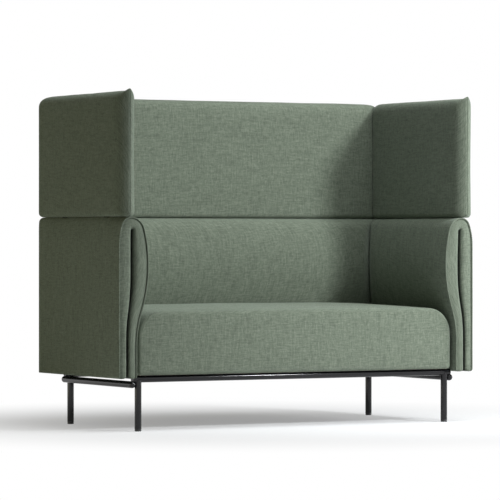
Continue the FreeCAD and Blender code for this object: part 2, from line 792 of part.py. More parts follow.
def left_bracket(heel_u, z, grow=0.0):
    """An angle against the inner faces of the two boards that meet at the corner."""
    leg = heel_u + BRACKET_LEG
    web = heel_u + BRACKET_T
    height = (z, z + BRACKET_H)
    side = left_box((heel_u, web), (back_y - leg, back_y - heel_u), height, grow)
    rear = back_box((-HALF_WIDTH + heel_u, -HALF_WIDTH + leg), (heel_u, web), height, grow)
    return side.fuse(rear).removeSplitter()


def left_bracket_screws(heel_u, z):
    """Where each of a bracket's two screws sits, and which way it runs."""
    web = heel_u + BRACKET_T
    out = heel_u + BRACKET_SCREW_IN
    middle = z + BRACKET_H / 2
    return [
        (in_left(web, back_y - out, middle), V(-1, 0, 0)),
        (in_back(-HALF_WIDTH + out, web, middle), V(0, 1, 0)),
    ]


lower_brackets = [(outer_board_u, fold_z + lift) for lift in LOWER_BRACKET_LIFTS]
upper_brackets = [(screen_bracket_u, screen_z + lift) for lift in UPPER_BRACKET_LIFTS]
bracket_screw_l = BRACKET_T + BOARD_T - SCREW_SHORT
lower_bracket_screws = [mark for b in lower_brackets for mark in left_bracket_screws(*b)]
upper_bracket_screws = [mark for b in upper_brackets for mark in left_bracket_screws(*b)]


def holes(marks, length):
    return [screw_hole(point, along, length) for point, along in marks]


def screws(marks, length, grow=0.0):
    return [screw(point, along, length, grow) for point, along in marks]


# What each pad holds, with the room that it leaves round it


def lower_hardware(gap):
    brackets = [left_bracket(u, z, gap) for u, z in lower_brackets]
    return both_sides(brackets + screws(lower_bracket_screws, bracket_screw_l, gap))


def upper_hardware(gap):
    brackets = [left_bracket(u, z, gap) for u, z in upper_brackets]
    return both_sides(brackets + screws(upper_bracket_screws, bracket_screw_l, gap))


def make_left_arm_pad():
    gap = POCKET_CLEARANCE
    held = [left_outer_board(gap), left_inner_board(gap), left_batten(gap)]
    held += [sleeve(left_bolt_line(y), gap) for y in arm_bolt_y]
    held += [left_post(y, gap) for y in side_post_y]
    held += screws(left_post_screws(), post_screw_l, gap)
    return left_arm_blank().cut(held + lower_hardware(gap))


def make_back_pad():
    gap = POCKET_CLEARANCE
    held = [back_outer_board(gap), back_inner_board(gap), back_batten(gap)]
    held += [sleeve(back_bolt_line(x), gap) for x in back_bolt_x]
    held += [back_post(x, gap) for x in back_post_x]
    held += screws(back_post_screws(), post_screw_l, gap)
    return back_blank().cut(held + lower_hardware(gap))


def make_left_screen_pad():
    gap = POCKET_CLEARANCE
    held = [left_screen_board(gap)] + [left_post(y, gap) for y in side_post_y]
    held += screws(left_post_screws(), post_screw_l, gap)
    return left_screen_blank().cut(held + upper_hardware(gap))


def make_back_screen_pad():
    gap = POCKET_CLEARANCE
    held = [back_screen_board(gap)] + [back_post(x, gap) for x in back_post_x]
    held += screws(back_post_screws(), post_screw_l, gap)
    return back_screen_blank().cut(held + upper_hardware(gap))


# All the pieces by name

parts = {}


def add(name, *shapes):
    parts[name] = shapes[0] if len(shapes) == 1 else Part.makeCompound(list(shapes))


def add_pair(name, left):
    add("left_" + name, left)
    add("right_" + name, mirrored(left))


def add_base():
    add("front_rail", make_cross_rail(leg_front_y))
    add("rear_rail", make_cross_rail(leg_rear_y))
    add_pair("side_rail", make_left_side_rail())
    for place, y in (("front", leg_front_y), ("rear", leg_rear_y)):
        add_pair(place + "_leg", make_left_leg(y))
        add_pair(place + "_foot", make_left_foot(y))
    inserts = [make_left_insert(y) for y in (leg_front_y, leg_rear_y)]
    add("leg_inserts", *both_sides(inserts))
    add("frame_tabs", *both_sides([make_left_tab(*ends) for ends in tab_ends]))
    tab_screws = [screw(tab_screw_place(ends[1]), V(0, 0, 1), TAB_SCREW_L) for ends in tab_ends]
    add("tab_screws", *both_sides(tab_screws))


def add_seat():
    arm_holes = [bolt_hole(left_bolt_line(y)) for y in arm_bolt_y]
    back_holes = [bolt_hole(back_bolt_line(x)) for x in back_bolt_x]
    add("seat_front_board", make_long_board(frame_front_y))
    add("seat_rear_board", make_long_board(bay_rear_y).cut(back_holes))
    board = make_left_seat_board().cut(arm_holes)
    add("seat_left_board", board)
    add("seat_right_board", mirrored(board))
    add("seat_centre_brace", make_brace())
    corners = ((bay_front_y, tab_ends[0][1], 1), (bay_rear_y, tab_ends[1][1], -1))
    add("seat_corner_blocks", *both_sides([make_left_corner_block(*corner) for corner in corners]))
    add("seat_webbing", *make_straps())
    add("dust_cover", make_dust_cover())
    add("seat_cushion", make_cushion())
    arm_lines = [left_bolt_line(y) for y in arm_bolt_y]
    back_lines = [back_bolt_line(x) for x in back_bolt_x]
    add("frame_bolts", *both_sides([bolt(line) for line in arm_lines]), *[bolt(line) for line in back_lines])
    add("arm_sleeves", *both_sides([make_sleeve(line) for line in arm_lines]))
    add("back_sleeves", *[make_sleeve(line) for line in back_lines])


def add_lower_tier():
    arm_bolts = [bolt_hole(left_bolt_line(y)) for y in arm_bolt_y]
    back_bolts = [bolt_hole(back_bolt_line(x)) for x in back_bolt_x]
    bracket_holes = both_sides(holes(lower_bracket_screws, bracket_screw_l))
    arm_holes = bracket_holes + holes(left_post_screws(), post_screw_l)
    back_holes = bracket_holes + holes(back_post_screws(), post_screw_l)
    add_pair("arm_outer_board", left_outer_board().cut(arm_holes))
    add_pair("arm_inner_board", left_inner_board().cut(arm_bolts))
    add_pair("arm_batten", left_batten())
    add_pair("arm_pad", make_left_arm_pad())
    add("back_outer_board", back_outer_board().cut(back_holes))
    add("back_inner_board", back_inner_board().cut(back_bolts))
    add("back_batten", back_batten())
    add("back_pad", make_back_pad())
    brackets = [left_bracket(u, z).cut(bracket_holes) for u, z in lower_brackets]
    add("lower_corner_brackets", *both_sides(brackets))


def add_screens():
    bracket_holes = both_sides(holes(upper_bracket_screws, bracket_screw_l))
    side_holes = holes(left_post_screws(), post_screw_l)
    back_holes = holes(back_post_screws(), post_screw_l)
    add_pair("screen_board", left_screen_board().cut(side_holes + bracket_holes))
    side_posts = [left_post(y).cut(side_holes) for y in side_post_y]
    add("left_screen_posts", *side_posts)
    add("right_screen_posts", *[mirrored(post) for post in side_posts])
    add_pair("screen_pad", make_left_screen_pad())
    add("back_screen_board", back_screen_board().cut(back_holes + bracket_holes))
    add("back_screen_posts", *[back_post(x).cut(back_holes) for x in back_post_x])
    add("back_screen_pad", make_back_screen_pad())
    brackets = [left_bracket(u, z).cut(bracket_holes) for u, z in upper_brackets]
    add("upper_corner_brackets", *both_sides(brackets))
    post_screws = both_sides(screws(left_post_screws(), post_screw_l))
    add("screen_screws", *post_screws, *screws(back_post_screws(), post_screw_l))
    marks = lower_bracket_screws + upper_bracket_screws
    add("bracket_screws", *both_sides(screws(marks, bracket_screw_l)))


def main():
    add_base()
    add_seat()
    add_lower_tier()
    add_screens()
    os.makedirs("parts", exist_ok=True)
    for name, shape in parts.items():
        solids = shape.Solids
        if not solids or not all(solid.isValid() for solid in solids):
            raise ValueError(name + " is not made of sound solids")
        shape.exportStep("parts/" + name + ".step")
        print(name, len(solids), round(shape.Volume))


main()
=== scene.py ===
import json
import math

import bmesh
import bpy
from bpy.props import FloatProperty, FloatVectorProperty, IntProperty, PointerProperty
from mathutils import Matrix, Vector, noise


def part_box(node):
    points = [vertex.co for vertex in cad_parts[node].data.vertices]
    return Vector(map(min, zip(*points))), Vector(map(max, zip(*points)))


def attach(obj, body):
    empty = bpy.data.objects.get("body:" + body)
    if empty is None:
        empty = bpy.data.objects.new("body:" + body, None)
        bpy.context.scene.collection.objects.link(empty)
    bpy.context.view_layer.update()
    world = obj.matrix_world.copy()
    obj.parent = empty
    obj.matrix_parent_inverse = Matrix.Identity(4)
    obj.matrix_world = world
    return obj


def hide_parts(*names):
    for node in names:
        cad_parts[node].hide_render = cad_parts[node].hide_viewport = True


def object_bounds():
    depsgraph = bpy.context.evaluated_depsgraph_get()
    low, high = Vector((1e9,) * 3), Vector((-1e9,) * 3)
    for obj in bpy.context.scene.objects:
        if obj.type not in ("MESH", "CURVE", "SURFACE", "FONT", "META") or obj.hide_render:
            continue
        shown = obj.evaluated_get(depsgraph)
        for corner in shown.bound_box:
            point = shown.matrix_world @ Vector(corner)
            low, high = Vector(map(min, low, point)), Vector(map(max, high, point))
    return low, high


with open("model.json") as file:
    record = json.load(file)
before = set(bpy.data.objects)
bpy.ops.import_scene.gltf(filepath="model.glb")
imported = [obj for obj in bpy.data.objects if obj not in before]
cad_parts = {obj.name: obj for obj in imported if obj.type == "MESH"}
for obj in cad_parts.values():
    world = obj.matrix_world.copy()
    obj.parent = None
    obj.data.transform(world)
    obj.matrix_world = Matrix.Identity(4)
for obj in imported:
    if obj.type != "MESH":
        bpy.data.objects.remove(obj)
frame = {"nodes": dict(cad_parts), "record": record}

# High-back lounge sofa: folded and slit pads, pillow-like screens, a seat and a steel-tube base.
# Metres. X runs to the viewer's right, Y to the back and Z up, with the floor at zero.

bl_info = {
    "name": "High-back lounge sofa",
    "version": (1, 0, 0),
    "blender": (4, 5, 0),
    "location": "3D View > Sidebar > Sofa",
    "description": "Dresses the sofa's frame with pads, screens, seams and finishes",
    "category": "Object",
}

BODY = "sofa"
CAD_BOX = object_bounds()
SIDE_X = CAD_BOX[0].x
BACK_Y = CAD_BOX[1].y
ARM_LOW, ARM_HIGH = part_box("left_arm_pad")
ARM_HEIGHT = ARM_HIGH.z - ARM_LOW.z
SCREEN_LOW, SCREEN_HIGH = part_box("back_screen_pad")
SCREEN_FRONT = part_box("left_screen_pad")[0].y
SEAT_LOW, SEAT_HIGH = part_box("seat_cushion")
SEAT_HEIGHT = SEAT_HIGH.z - SEAT_LOW.z
RAIL_LOW, RAIL_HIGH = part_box("front_rail")
RAIL_MIDDLE = (RAIL_HIGH.z + RAIL_LOW.z) / 2
TUBE_RADIUS = (RAIL_HIGH.z - RAIL_LOW.z) / 2
LEG_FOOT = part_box("left_front_leg")[0].z
FOOT_LOW, FOOT_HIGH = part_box("left_front_foot")

ROUND = (0.0, 22.5, 45.0, 67.5, 90.0)  # turns at which a quarter round is drawn


# Sizes and colours that a user would change


def length(name, description, default):
    return FloatProperty(name=name, description=description, default=default, unit="LENGTH", precision=4)


def share(name, description, default):
    return FloatProperty(name=name, description=description, default=default, min=0.0, max=1.0)


def amount(name, description, default):
    return FloatProperty(name=name, description=description, default=default, min=0.0)


def angle(name, description, degrees):
    default = math.radians(degrees)
    return FloatProperty(name=name, description=description, default=default, subtype="ANGLE")


def colour(name, description, default):
    return FloatVectorProperty(name=name, description=description, default=default, subtype="COLOR", size=3)


class FoldSizes(bpy.types.PropertyGroup):
    """Folded pads of the arms and back, seen end on."""

    foot_thickness: length("Foot thickness", "Pad across both legs of the fold, low down", 0.076)
    bulge_thickness: length("Bulge thickness", "Pad at its widest", ARM_HIGH.x - ARM_LOW.x)
    bulge_rise: length("Bulge rise", "Widest point above the lower edge", 0.410)
    bulge_radius: length("Bulge radius", "Curve of the bulge", 0.520)
    waist_radius: length("Waist radius", "Hollow below the bulge", 0.370)
    top_in: length("Top line", "Highest line of the fold from the outer face", 0.050)
    top_radius: length("Top radius", "Tight turn on the outer side of the top line", 0.038)
    shoulder_drop: length("Shoulder drop", "Foot of the long outer curve below the top", 0.105)
    foot_radius: length("Foot radius", "Rounded lower ends", 0.010)
    slit_width: length("Slit width", "Gap between the legs of the fold", 0.008)
    slit_low_in: length("Slit low", "Slit's middle from the outer face, low down", 0.037)
    slit_high_in: length("Slit high", "Slit's middle from the outer face, high up", 0.057)
    slit_low_rise: length("Slit lower bend", "Where the slit starts to lean", 0.137)
    slit_high_rise: length("Slit upper bend", "Where the slit is upright again", 0.367)
    slit_height: length("Slit height", "Top of the slit above the lower edge", 0.542)
    corner_radius: length("Corner radius", "Upright rear corners, seen from above", 0.034)
    mitre_gap: length("Mitre gap", "From a pad's end to the mitre", 0.0004)
    rim: length("Rim", "Radius of the round rim outside the front seam", 0.0029)
    seam_width: length("Seam width", "From the rim to where the front panel is full", 0.0240)
    seam_depth: length("Seam depth", "Front seam behind the rim", 0.0048)
    slit_edge: length("Slit edge", "Rounded edge beside the slit, where the pad is thick", 0.022)
    slit_closed: length("Slit closed", "Gap between the legs of the fold, deep inside", 0.0014)
    corner_ease: length("Corner ease", "Inner faces rounded off towards the mitre", 0.020)
    corner_start: length("Corner start", "Depth below the top at which that rounding is full", 0.060)
    corner_fill: share("Corner fill", "How much of the outer curve the cover fills at a corner", 0.58)
    corner_reach: length("Corner reach", "How far along a pad that filling runs", 0.140)
    length_fill: share("Length fill", "Share of that filling along the rest of a pad, behind its front", 0.80)
    top_lift: length("Top lift", "How far the cover stands up to the screen above", 0.0008)
    rest_width: length("Rest width", "Width of the top that carries a screen, each side of its middle", 0.024)


class ScreenSizes(bpy.types.PropertyGroup):
    """Pillow-like screens, seen end on."""

    thickness: length("Thickness", "Pad across its faces", 0.072)
    top_radius: length("Top radius", "Rounded upper edges", 0.030)
    foot_radius: length("Foot radius", "Rounded lower edges", 0.015)
    nose_length: length("Nose length", "Stretch that rounds off to the front seam", 0.048)
    nose_foot_radius: length("Nose foot", "Lower front corner, seen from the side", 0.020)
    seam_depth: length("Seam depth", "How far the front seam is drawn in", 0.0035)
    ear_height: length("Ear height", "Pinched front corner above the top edge", 0.007)
    ear_length: length("Ear length", "Stretch over which the corner rises", 0.030)
    end_length: length("End length", "Stretch that rounds off to the mitre", 0.055)
    foot_drop: length("Foot drop", "How far the cover hangs down to the pad below", 0.0012)
    notch_depth: length("Notch depth", "Dip of the upper edges at the mitre", 0.015)
    end_ease: length("End ease", "Inner face drawn in at the mitre", 0.002)


class SeatSizes(bpy.types.PropertyGroup):
    """Seat cushion."""

    end_radius: length("End radius", "Height of the rounded upper ends", 0.102)
    end_length: length("End length", "Length of the rounded upper ends", 0.090)
    front_fall: length("Front fall", "How much lower the top is at its front than at its rear", 0.011)
    edge_radius: length("Edge radius", "Front and rear edges", 0.011)
    foot_radius: length("Foot radius", "Rounded lower ends", 0.014)
    crown: length("Crown", "Rise of the top towards its middle", 0.006)


class Padding(bpy.types.PropertyGroup):
    """How the covers swell over their foam."""

    spacing: length("Spacing", "Distance between the mesh's points", 0.012)
    kept: share("Kept", "Share of the swelling that the foam holds back to", 0.3)
    cap: length("Cap", "Farthest that the swelling moves a point", 0.005)
    pressure: amount("Pressure", "Push of the foam on the cover", 0.5)
    stiffness: amount("Stiffness", "Resistance of the cover to stretch", 25.0)
    frames: IntProperty(name="Frames", description="Steps of the swelling", default=16, min=2)
    wave: length("Wave", "Height of the slow unevenness of a cover", 0.0010)
    fill: share("Fill", "From slack to tight", 0.85)


class FabricLook(bpy.types.PropertyGroup):
    """Heathered wool cover."""

    dark: colour("Dark yarn", "Darker stretches of yarn", (0.094, 0.113, 0.083))
    light: colour("Light yarn", "Lighter stretches of yarn", (0.192, 0.224, 0.168))
    yarn: length("Yarn", "Distance between yarns", 0.0026)
    fleck: length("Fleck", "Length of a tone along a yarn", 0.016)
    slub: length("Slub", "Width of a thicker stretch of yarn", 0.0055)
    slub_length: length("Slub length", "Length of a thicker stretch of yarn", 0.040)
    relief: length("Relief", "Height of the weave", 0.0006)
    # Painted shade: how much the cover's colour is darkened deep in the slit and the seams, where little
    # light reaches
    shade: share("Shade", "How much darker the cover is deep in the slit and the seams", 0.88)


class FrameLook(bpy.types.PropertyGroup):
    """Powder-coated steel tube."""

    coat: colour("Coat", "Powder coat", (0.008, 0.008, 0.009))
    weld: length("Weld", "Radius of a weld bead", 0.0016)
    weld_pitch: length("Weld pitch", "Distance between a bead's ripples", 0.0022)


class SeamLook(bpy.types.PropertyGroup):
    """Stitches of the seams."""

    stitch: length("Stitch", "Length of a stitch", 0.0034)
    thread: length("Thread", "Thickness of the thread", 0.0009)
    pitch: length("Pitch", "From one stitch to the next", 0.0050)
    colour: colour("Thread colour", "Thread of the seams", (0.085, 0.105, 0.078))


class StageLook(bpy.types.PropertyGroup):
    """Camera, floor and studio light."""

    camera: FloatVectorProperty(
        name="Camera",
        description="Place of the camera",
        default=(-6.226, -11.088, 0.698),
        subtype="TRANSLATION",
    )
    heading: angle("Heading", "Turn of the view to the right", 29.2)
    tilt: angle("Tilt", "Drop of the view below level", 0.183)
    lens: amount("Lens", "Focal length in millimetres", 240.55)
    key: amount("Key", "Power of the main lamp in watts", 560.0)
    top: amount("Top", "Power of the overhead lamp in watts", 105.0)
    side: amount("Side", "Power of the lamp at the right in watts", 55.0)
    fill: amount("Fill", "Power of the low lamp at the left in watts", 15.0)
    around: share("Around", "Strength of the light from all round", 0.02)
    floor_glow: share("Floor glow", "How much of the floor's white comes from itself", 0.32)


def settings(context):
    return context.scene.sofa


class SofaSettings(bpy.types.PropertyGroup):
    """All the sofa's settings."""

    fold: PointerProperty(type=FoldSizes)
    screen: PointerProperty(type=ScreenSizes)
    seat: PointerProperty(type=SeatSizes)
    padding: PointerProperty(type=Padding)
    fabric: PointerProperty(type=FabricLook)
    metal: PointerProperty(type=FrameLook)
    seam: PointerProperty(type=SeamLook)
    stage: PointerProperty(type=StageLook)


# Curves in a plane


def polar(centre, radius, angle):
    turn = math.radians(angle)
    return (centre[0] + radius * math.cos(turn), centre[1] + radius * math.sin(turn))


def spread(start, end, spacing):
    """Even places from start to end, both included, about a spacing apart."""
    count = max(1, round(abs(end - start) / spacing))
    return [start + (end - start) * index / count for index in range(count + 1)]


def arc(centre, radius, start, end, spacing):
    return [polar(centre, radius, angle) for angle in spread(start, end, math.degrees(spacing / radius))]


def rounding(distance, radius):
    """How far a quarter-round edge still stands in, at a distance from its end."""
    left = max(radius - distance, 0.0)
    return radius - math.sqrt(radius * radius - left * left)


def quarter(radius, turn):
    """Distances of a point on a quarter round from the two lines that it joins, at a turn in degrees."""
    angle = math.radians(turn)
    return (radius * (1 - math.cos(angle)), radius * (1 - math.sin(angle)))


def mix(one, other, part):
    return one + (other - one) * part


# Closed skins: rings of points, joined by quads, with faces over both ends


def skin_mesh(name, rings, caps, flat_rings=0):
    """A mesh over rings of points, with a weave map in metres. Flat rings at each end are mapped face on."""
    size = len(rings[0])
    faces = []
    maps = []
    around = [distances(ring + ring[:1]) for ring in rings]
    along = list(zip(*[distances([ring[index] for ring in rings]) for index in range(size)]))
    for row in range(len(rings) - 1):
        flat = row < flat_rings or row >= len(rings) - 1 - flat_rings
        for column in range(size):
            after = (column + 1) % size
            corners = [(row, column), (row, after), (row + 1, after), (row + 1, column)]
            faces.append([r * size + c for r, c in corners])
            if flat:
                maps += [(rings[r][c].x, rings[r][c].z) for r, c in corners]
            else:
                steps = (column, column + 1, column + 1, column)
                maps += [(around[r][step], along[r][c]) for (r, c), step in zip(corners, steps)]
    points = [point for ring in rings for point in ring]
    for first in (0, len(points) - size):
        for cap in caps:
            face = [first + index for index in cap]
            faces.append(face)
            maps += [(points[index].x, points[index].z) for index in face]
    mesh = bpy.data.meshes.new(name)
    mesh.from_pydata([tuple(point) for point in points], [], faces)
    layer = mesh.uv_layers.new(name="weave")
    for corner, pair in zip(layer.data, maps):
        corner.uv = pair
    face_outwards(mesh)
    return mesh


def distances(points):
    """Distance of each point along the line through them."""
    runs = [0.0]
    for one, other in zip(points, points[1:]):
        runs.append(runs[-1] + (other - one).length)
    return runs


def face_outwards(mesh):
    work = bmesh.new()
    work.from_mesh(mesh)
    bmesh.ops.recalc_face_normals(work, faces=work.faces)
    work.to_mesh(mesh)
    work.free()


def paired_cap(size):
    """Faces over a ring whose two halves mirror each other, from its first point to the one opposite."""
    half = size // 2
    faces = [[0, 1, size - 1]]
    faces += [[index, index + 1, size - index - 1, size - index] for index in range(1, half - 1)]
    faces.append([half - 1, half, half + 1])
    return faces


def new_object(name, mesh):
    piece = bpy.data.objects.new(name, mesh)
    bpy.context.scene.collection.objects.link(piece)
    return piece


def mirrored(piece, name):
    mesh = piece.data.copy()
    mesh.name = name
    for vertex in mesh.vertices:
        vertex.co.x = -vertex.co.x
    mesh.flip_normals()
    return new_object(name, mesh)


def flipped(points):
    """Points on the other side of the sofa's middle."""
    return [Vector((-point.x, point.y, point.z)) for point in points]


# Covers that swell over their foam

CLOTH_QUALITY = 4  # steps of the solver in a frame
CLOTH_MASS = 0.4
CLOTH_BENDING = 2.0
WAVES = ((5.0, 1.0), (14.0, 0.4))  # scale of each unevenness and its share of the height


def inflate(piece, grips, padding):
    """Swell a cover as cloth under pressure, held where its grip is 1, and keep the result in its mesh."""
    start = [vertex.co.copy() for vertex in piece.data.vertices]
    held = piece.vertex_groups.new(name="held")
    for index, grip in enumerate(grips):
        if grip > 0:
            held.add([index], grip, "REPLACE")
    cloth = piece.modifiers.new("swell", "CLOTH")
    cover = cloth.settings
    cover.quality = CLOTH_QUALITY
    cover.mass = CLOTH_MASS
    cover.tension_stiffness = padding.stiffness
    cover.compression_stiffness = padding.stiffness
    cover.shear_stiffness = padding.stiffness / 2
    cover.bending_stiffness = CLOTH_BENDING
    cover.vertex_group_mass = held.name
    cover.use_pressure = True
    cover.uniform_pressure_force = padding.pressure
    cover.effector_weights.gravity = 0.0
    cloth.collision_settings.use_collision = False
    cloth.point_cache.frame_start = 1
    cloth.point_cache.frame_end = padding.frames
    scene = bpy.context.scene
    for step in range(1, padding.frames + 1):
        scene.frame_set(step)
    swollen = piece.evaluated_get(bpy.context.evaluated_depsgraph_get()).to_mesh()
    moves = [after.co - before for after, before in zip(swollen.vertices, start)]
    piece.modifiers.remove(cloth)
    piece.vertex_groups.remove(held)
    scene.frame_set(1)
    for vertex, before, move in zip(piece.data.vertices, start, moves):
        move *= padding.kept
        far = move.length
        if far > 0:
            move *= padding.cap * math.tanh(far / padding.cap) / far
        vertex.co = before + move


def add_waves(piece, grips, padding):
    """Slow unevenness of a hand-upholstered cover."""
    normals = [Vector(vertex.normal) for vertex in piece.data.vertices]
    for vertex, normal, grip in zip(piece.data.vertices, normals, grips):
        height = sum(part * noise.noise(vertex.co * scale) for scale, part in WAVES)
        vertex.co += normal * padding.wave * height * (1 - grip)


def upholster(piece, grips):
    padding = settings(bpy.context).padding
    inflate(piece, grips, padding)
    add_waves(piece, grips, padding)


def finish_pad(piece, node):
    piece.data.materials.clear()
    piece.data.materials.append(finish("upholstery"))
    piece.data.shade_smooth()
    smooth = piece.modifiers.new("smooth", "SUBSURF")
    smooth.levels = 1
    smooth.render_levels = 1
    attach(piece, BODY)
    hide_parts(node)


def finish_pair(left):
    """Finish a left-hand pad and the right-hand one that mirrors it."""
    right = mirrored(left, left.name.replace("left", "right"))
    for piece in (left, right):
        finish_pad(piece, piece.name + "_pad")


# Folded pads of the arms and back


def slit_middle(size, rise):
    """The slit's middle from the outer face, at a height above the pad's lower edge: two equal bends."""
    low = size.slit_low_rise
    high = size.slit_high_rise
    lean = 2 * math.atan((size.slit_high_in - size.slit_low_in) / (high - low))
    bend = (high - low) / (2 * math.sin(lean))
    if rise <= low:
        return size.slit_low_in
    if rise >= high:
        return size.slit_high_in
    if rise < (low + high) / 2:
        return size.slit_low_in + rounding(bend - (rise - low), bend)
    return size.slit_high_in - rounding(bend - (high - rise), bend)


class Rib:
    """A line across a folded pad from its outer contour to its slit, as distances in and heights."""

    def __init__(self, outer, slit, turn=0.0):
        self.outer = outer
        self.slit = slit
        self.turn = turn  # how far round its foot the rib lies, in degrees

    def at(self, part):
        return (mix(self.outer[0], self.slit[0], part), mix(self.outer[1], self.slit[1], part))

    def span(self):
        return math.dist(self.outer, self.slit)


def foot_ribs(size, outer_in, slit_in):
    """Ribs round the lower end of a leg of the fold, from its flat underside up."""
    way = 1 if slit_in > outer_in else -1
    ribs = []
    for turn in ROUND[:0:-1]:
        inset, rise = quarter(size.foot_radius, turn)
        ribs.append(Rib((outer_in + way * inset, rise), (slit_in - way * inset, rise), turn))
    return ribs


# Closer points where the fold turns over: shares of the spacing on its outer and inner side
OUTER_CLOSER = 0.6
INNER_CLOSER = 0.7


def fold_ribs(size, spacing):
    """Ribs from the outer leg's foot, over the fold, to the inner leg's foot."""
    height = ARM_HEIGHT + size.top_lift
    half_slit = size.slit_width / 2
    top_r = size.top_radius
    top_in = size.top_in
    # The outer half leans in on a long curve and turns over in a tight one
    drop = size.shoulder_drop
    side_r = (top_in**2 + drop**2 - 2 * drop * top_r) / (2 * (top_in - top_r))
    turn = math.degrees(math.atan2(drop - top_r, top_in - side_r))
    # The inner half touches both the top and the bulge
    rise = height - size.bulge_rise
    reach = top_in + size.bulge_radius - size.bulge_thickness
    crest_r = (size.bulge_radius**2 - reach**2 - rise**2) / (2 * (size.bulge_radius - rise))
    crest_turn = math.degrees(math.atan2(rise - crest_r, reach))
    bulge = (size.bulge_thickness - size.bulge_radius, size.bulge_rise)
    # The bulge runs down into the waist, which ends upright
    narrowing = size.bulge_thickness - size.foot_thickness
    swing = math.acos(1 - narrowing / (size.bulge_radius + size.waist_radius))
    waist_rise = size.bulge_rise - (size.bulge_radius + size.waist_radius) * math.sin(swing)
    waist = (size.foot_thickness + size.waist_radius, waist_rise)
    swing_turn = math.degrees(swing)

    outer_leg = [(0.0, rise) for rise in spread(size.foot_radius, height - drop, spacing)]
    outer_leg += arc((side_r, height - drop), side_r, 180, turn, spacing)[1:]
    fold = arc((top_in, height - top_r), top_r, turn, 90, spacing * OUTER_CLOSER)[1:]
    fold += arc((top_in, height - crest_r), crest_r, 90, crest_turn, spacing * INNER_CLOSER)[1:]
    inner_leg = arc(bulge, size.bulge_radius, crest_turn, -swing_turn, spacing)[1:]
    inner_leg += arc(waist, size.waist_radius, 180 - swing_turn, 180, spacing)[1:]
    inner_leg += [(size.foot_thickness, rise) for rise in spread(waist_rise, size.foot_radius, spacing)[1:]]

    slit_end = (size.slit_high_in, size.slit_height - half_slit)
    ribs = foot_ribs(size, 0.0, size.slit_low_in - half_slit)
    for point in outer_leg:
        low = min(point[1], slit_end[1])
        ribs.append(Rib(point, (slit_middle(size, low) - half_slit, low)))
    for index, point in enumerate(fold):
        ribs.append(Rib(point, polar(slit_end, half_slit, 180 * (1 - (index + 1) / len(fold)))))
    # The inner leg's ribs level out by the widest point of the bulge
    squeeze = (slit_end[1] - size.bulge_rise) / (fold[-1][1] - size.bulge_rise)
    for point in inner_leg:
        above = max(point[1] - size.bulge_rise, 0.0)
        low = min(point[1], size.bulge_rise) + above * squeeze
        ribs.append(Rib(point, (slit_middle(size, low) + half_slit, low)))
    ribs += foot_ribs(size, size.foot_thickness, size.slit_low_in + half_slit)[::-1]
    return ribs


def carried(size, point):
    """Grip of the fold's top, where a screen stands on it."""
    off = abs(point[0] - size.top_in) / size.rest_width
    if point[1] < ARM_HEIGHT - size.top_radius:
        return 0.0
    return max(0.0, min(1.0, 2.0 - off))


# Front of an arm, from its rim to its slit
RIM_TURNS = ROUND + (135.0, 180.0)
RIM_GRIP = 0.6
SEAM_SHARE = 0.45  # most of a rib that the seam's slope takes up
EDGE_SHARE = 0.6  # most of what is left that the slit's edge takes up
PANEL_PARTS = (0.4, 0.8)  # places of points on the full panel between them
EDGE_TURNS = (0.0, 15.0, 30.0, 45.0, 60.0, 75.0, 90.0)
EDGE_LIT = 45.0  # turn of the slit's edge up to which it gets no painted shade
# Slope of the seam: share of its width, share of its depth, grip and painted shade (the seam's groove
# darkened in colour)
RIM_TO_PANEL = (
    (0.0, 0.75, 1.0, 0.9),
    (0.015, 1.0, 1.0, 1.0),
    (0.10, 0.88, 0.8, 0.0),
    (0.28, 0.66, 0.4, 0.0),
    (0.52, 0.34, 0.1, 0.0),
    (0.76, 0.10, 0.0, 0.0),
    (1.0, 0.0, 0.0, 0.0),
)
SEAM_MARK = len(RIM_TURNS) + 1  # place of the seam's deepest line among the front's points


def front_marks(size, rib):
    """Points across an arm's front: share of the way to the slit, set-back, grip and painted shade."""
    span = rib.span() + 2 * quarter(size.foot_radius, rib.turn)[0]
    marks = [quarter(size.rim, turn) + (RIM_GRIP, 0.0) for turn in RIM_TURNS]
    start = marks[-1][0]
    width = min(size.seam_width, (span - start) * SEAM_SHARE)
    for part, deep, grip, shade in RIM_TO_PANEL:
        marks.append((start + part * width, deep * size.seam_depth, grip, shade))
    start = marks[-1][0]
    edge = min(size.slit_edge, (span - start) * EDGE_SHARE)
    marks += [(mix(start, span - edge, part), 0.0, 0.0, 0.0) for part in PANEL_PARTS]
    for turn in EDGE_TURNS:
        deep, left = quarter(edge, turn)
        # Painted shade on the slit's edge, growing as the edge turns into the slit
        shade = max(0.0, turn / EDGE_LIT - 1.0) ** 2
        marks.append((span - left, deep, turn / 90.0, shade))
    back = quarter(size.foot_radius / 2, rib.turn)[0]
    return [(across / span, deep + back, grip, shade) for across, deep, grip, shade in marks]


# Mitred end of a pad: places of points within its rounding and on the rest of it
CREASE_PARTS = (0.0, 0.06, 0.16, 0.3, 0.5, 0.75, 1.0)
FLAT_PARTS = (0.33, 0.67, 1.0)


def mitre_marks(size, rib):
    """Points across a mitred end: share of the way to the slit, set-back from the far wall, grip, painted
    shade.
    """
    crease = min(size.corner_ease, rib.span() / 2) / rib.span()
    marks = [crease * part for part in CREASE_PARTS]
    marks += [mix(crease, 1.0, part) for part in FLAT_PARTS]
    corner = size.corner_radius * (1 - math.sqrt(0.5))
    ease_r = size.corner_ease * max(0.0, min(1.0, (rib.outer[0] - corner) / (size.top_in - corner)))
    below_top = ARM_HEIGHT - rib.outer[1]
    ease_r *= max(0.0, min(1.0, below_top / size.corner_start))
    result = []
    for part in marks:
        inwards = rib.at(part)[0]
        if inwards < corner:
            short = rounding(inwards, size.corner_radius)
        else:
            short = inwards
        ease = rounding(part * rib.span(), ease_r) if ease_r > 0 else 0.0
        result.append((part, short + size.mitre_gap + ease, 1.0, 0.0))
    return result


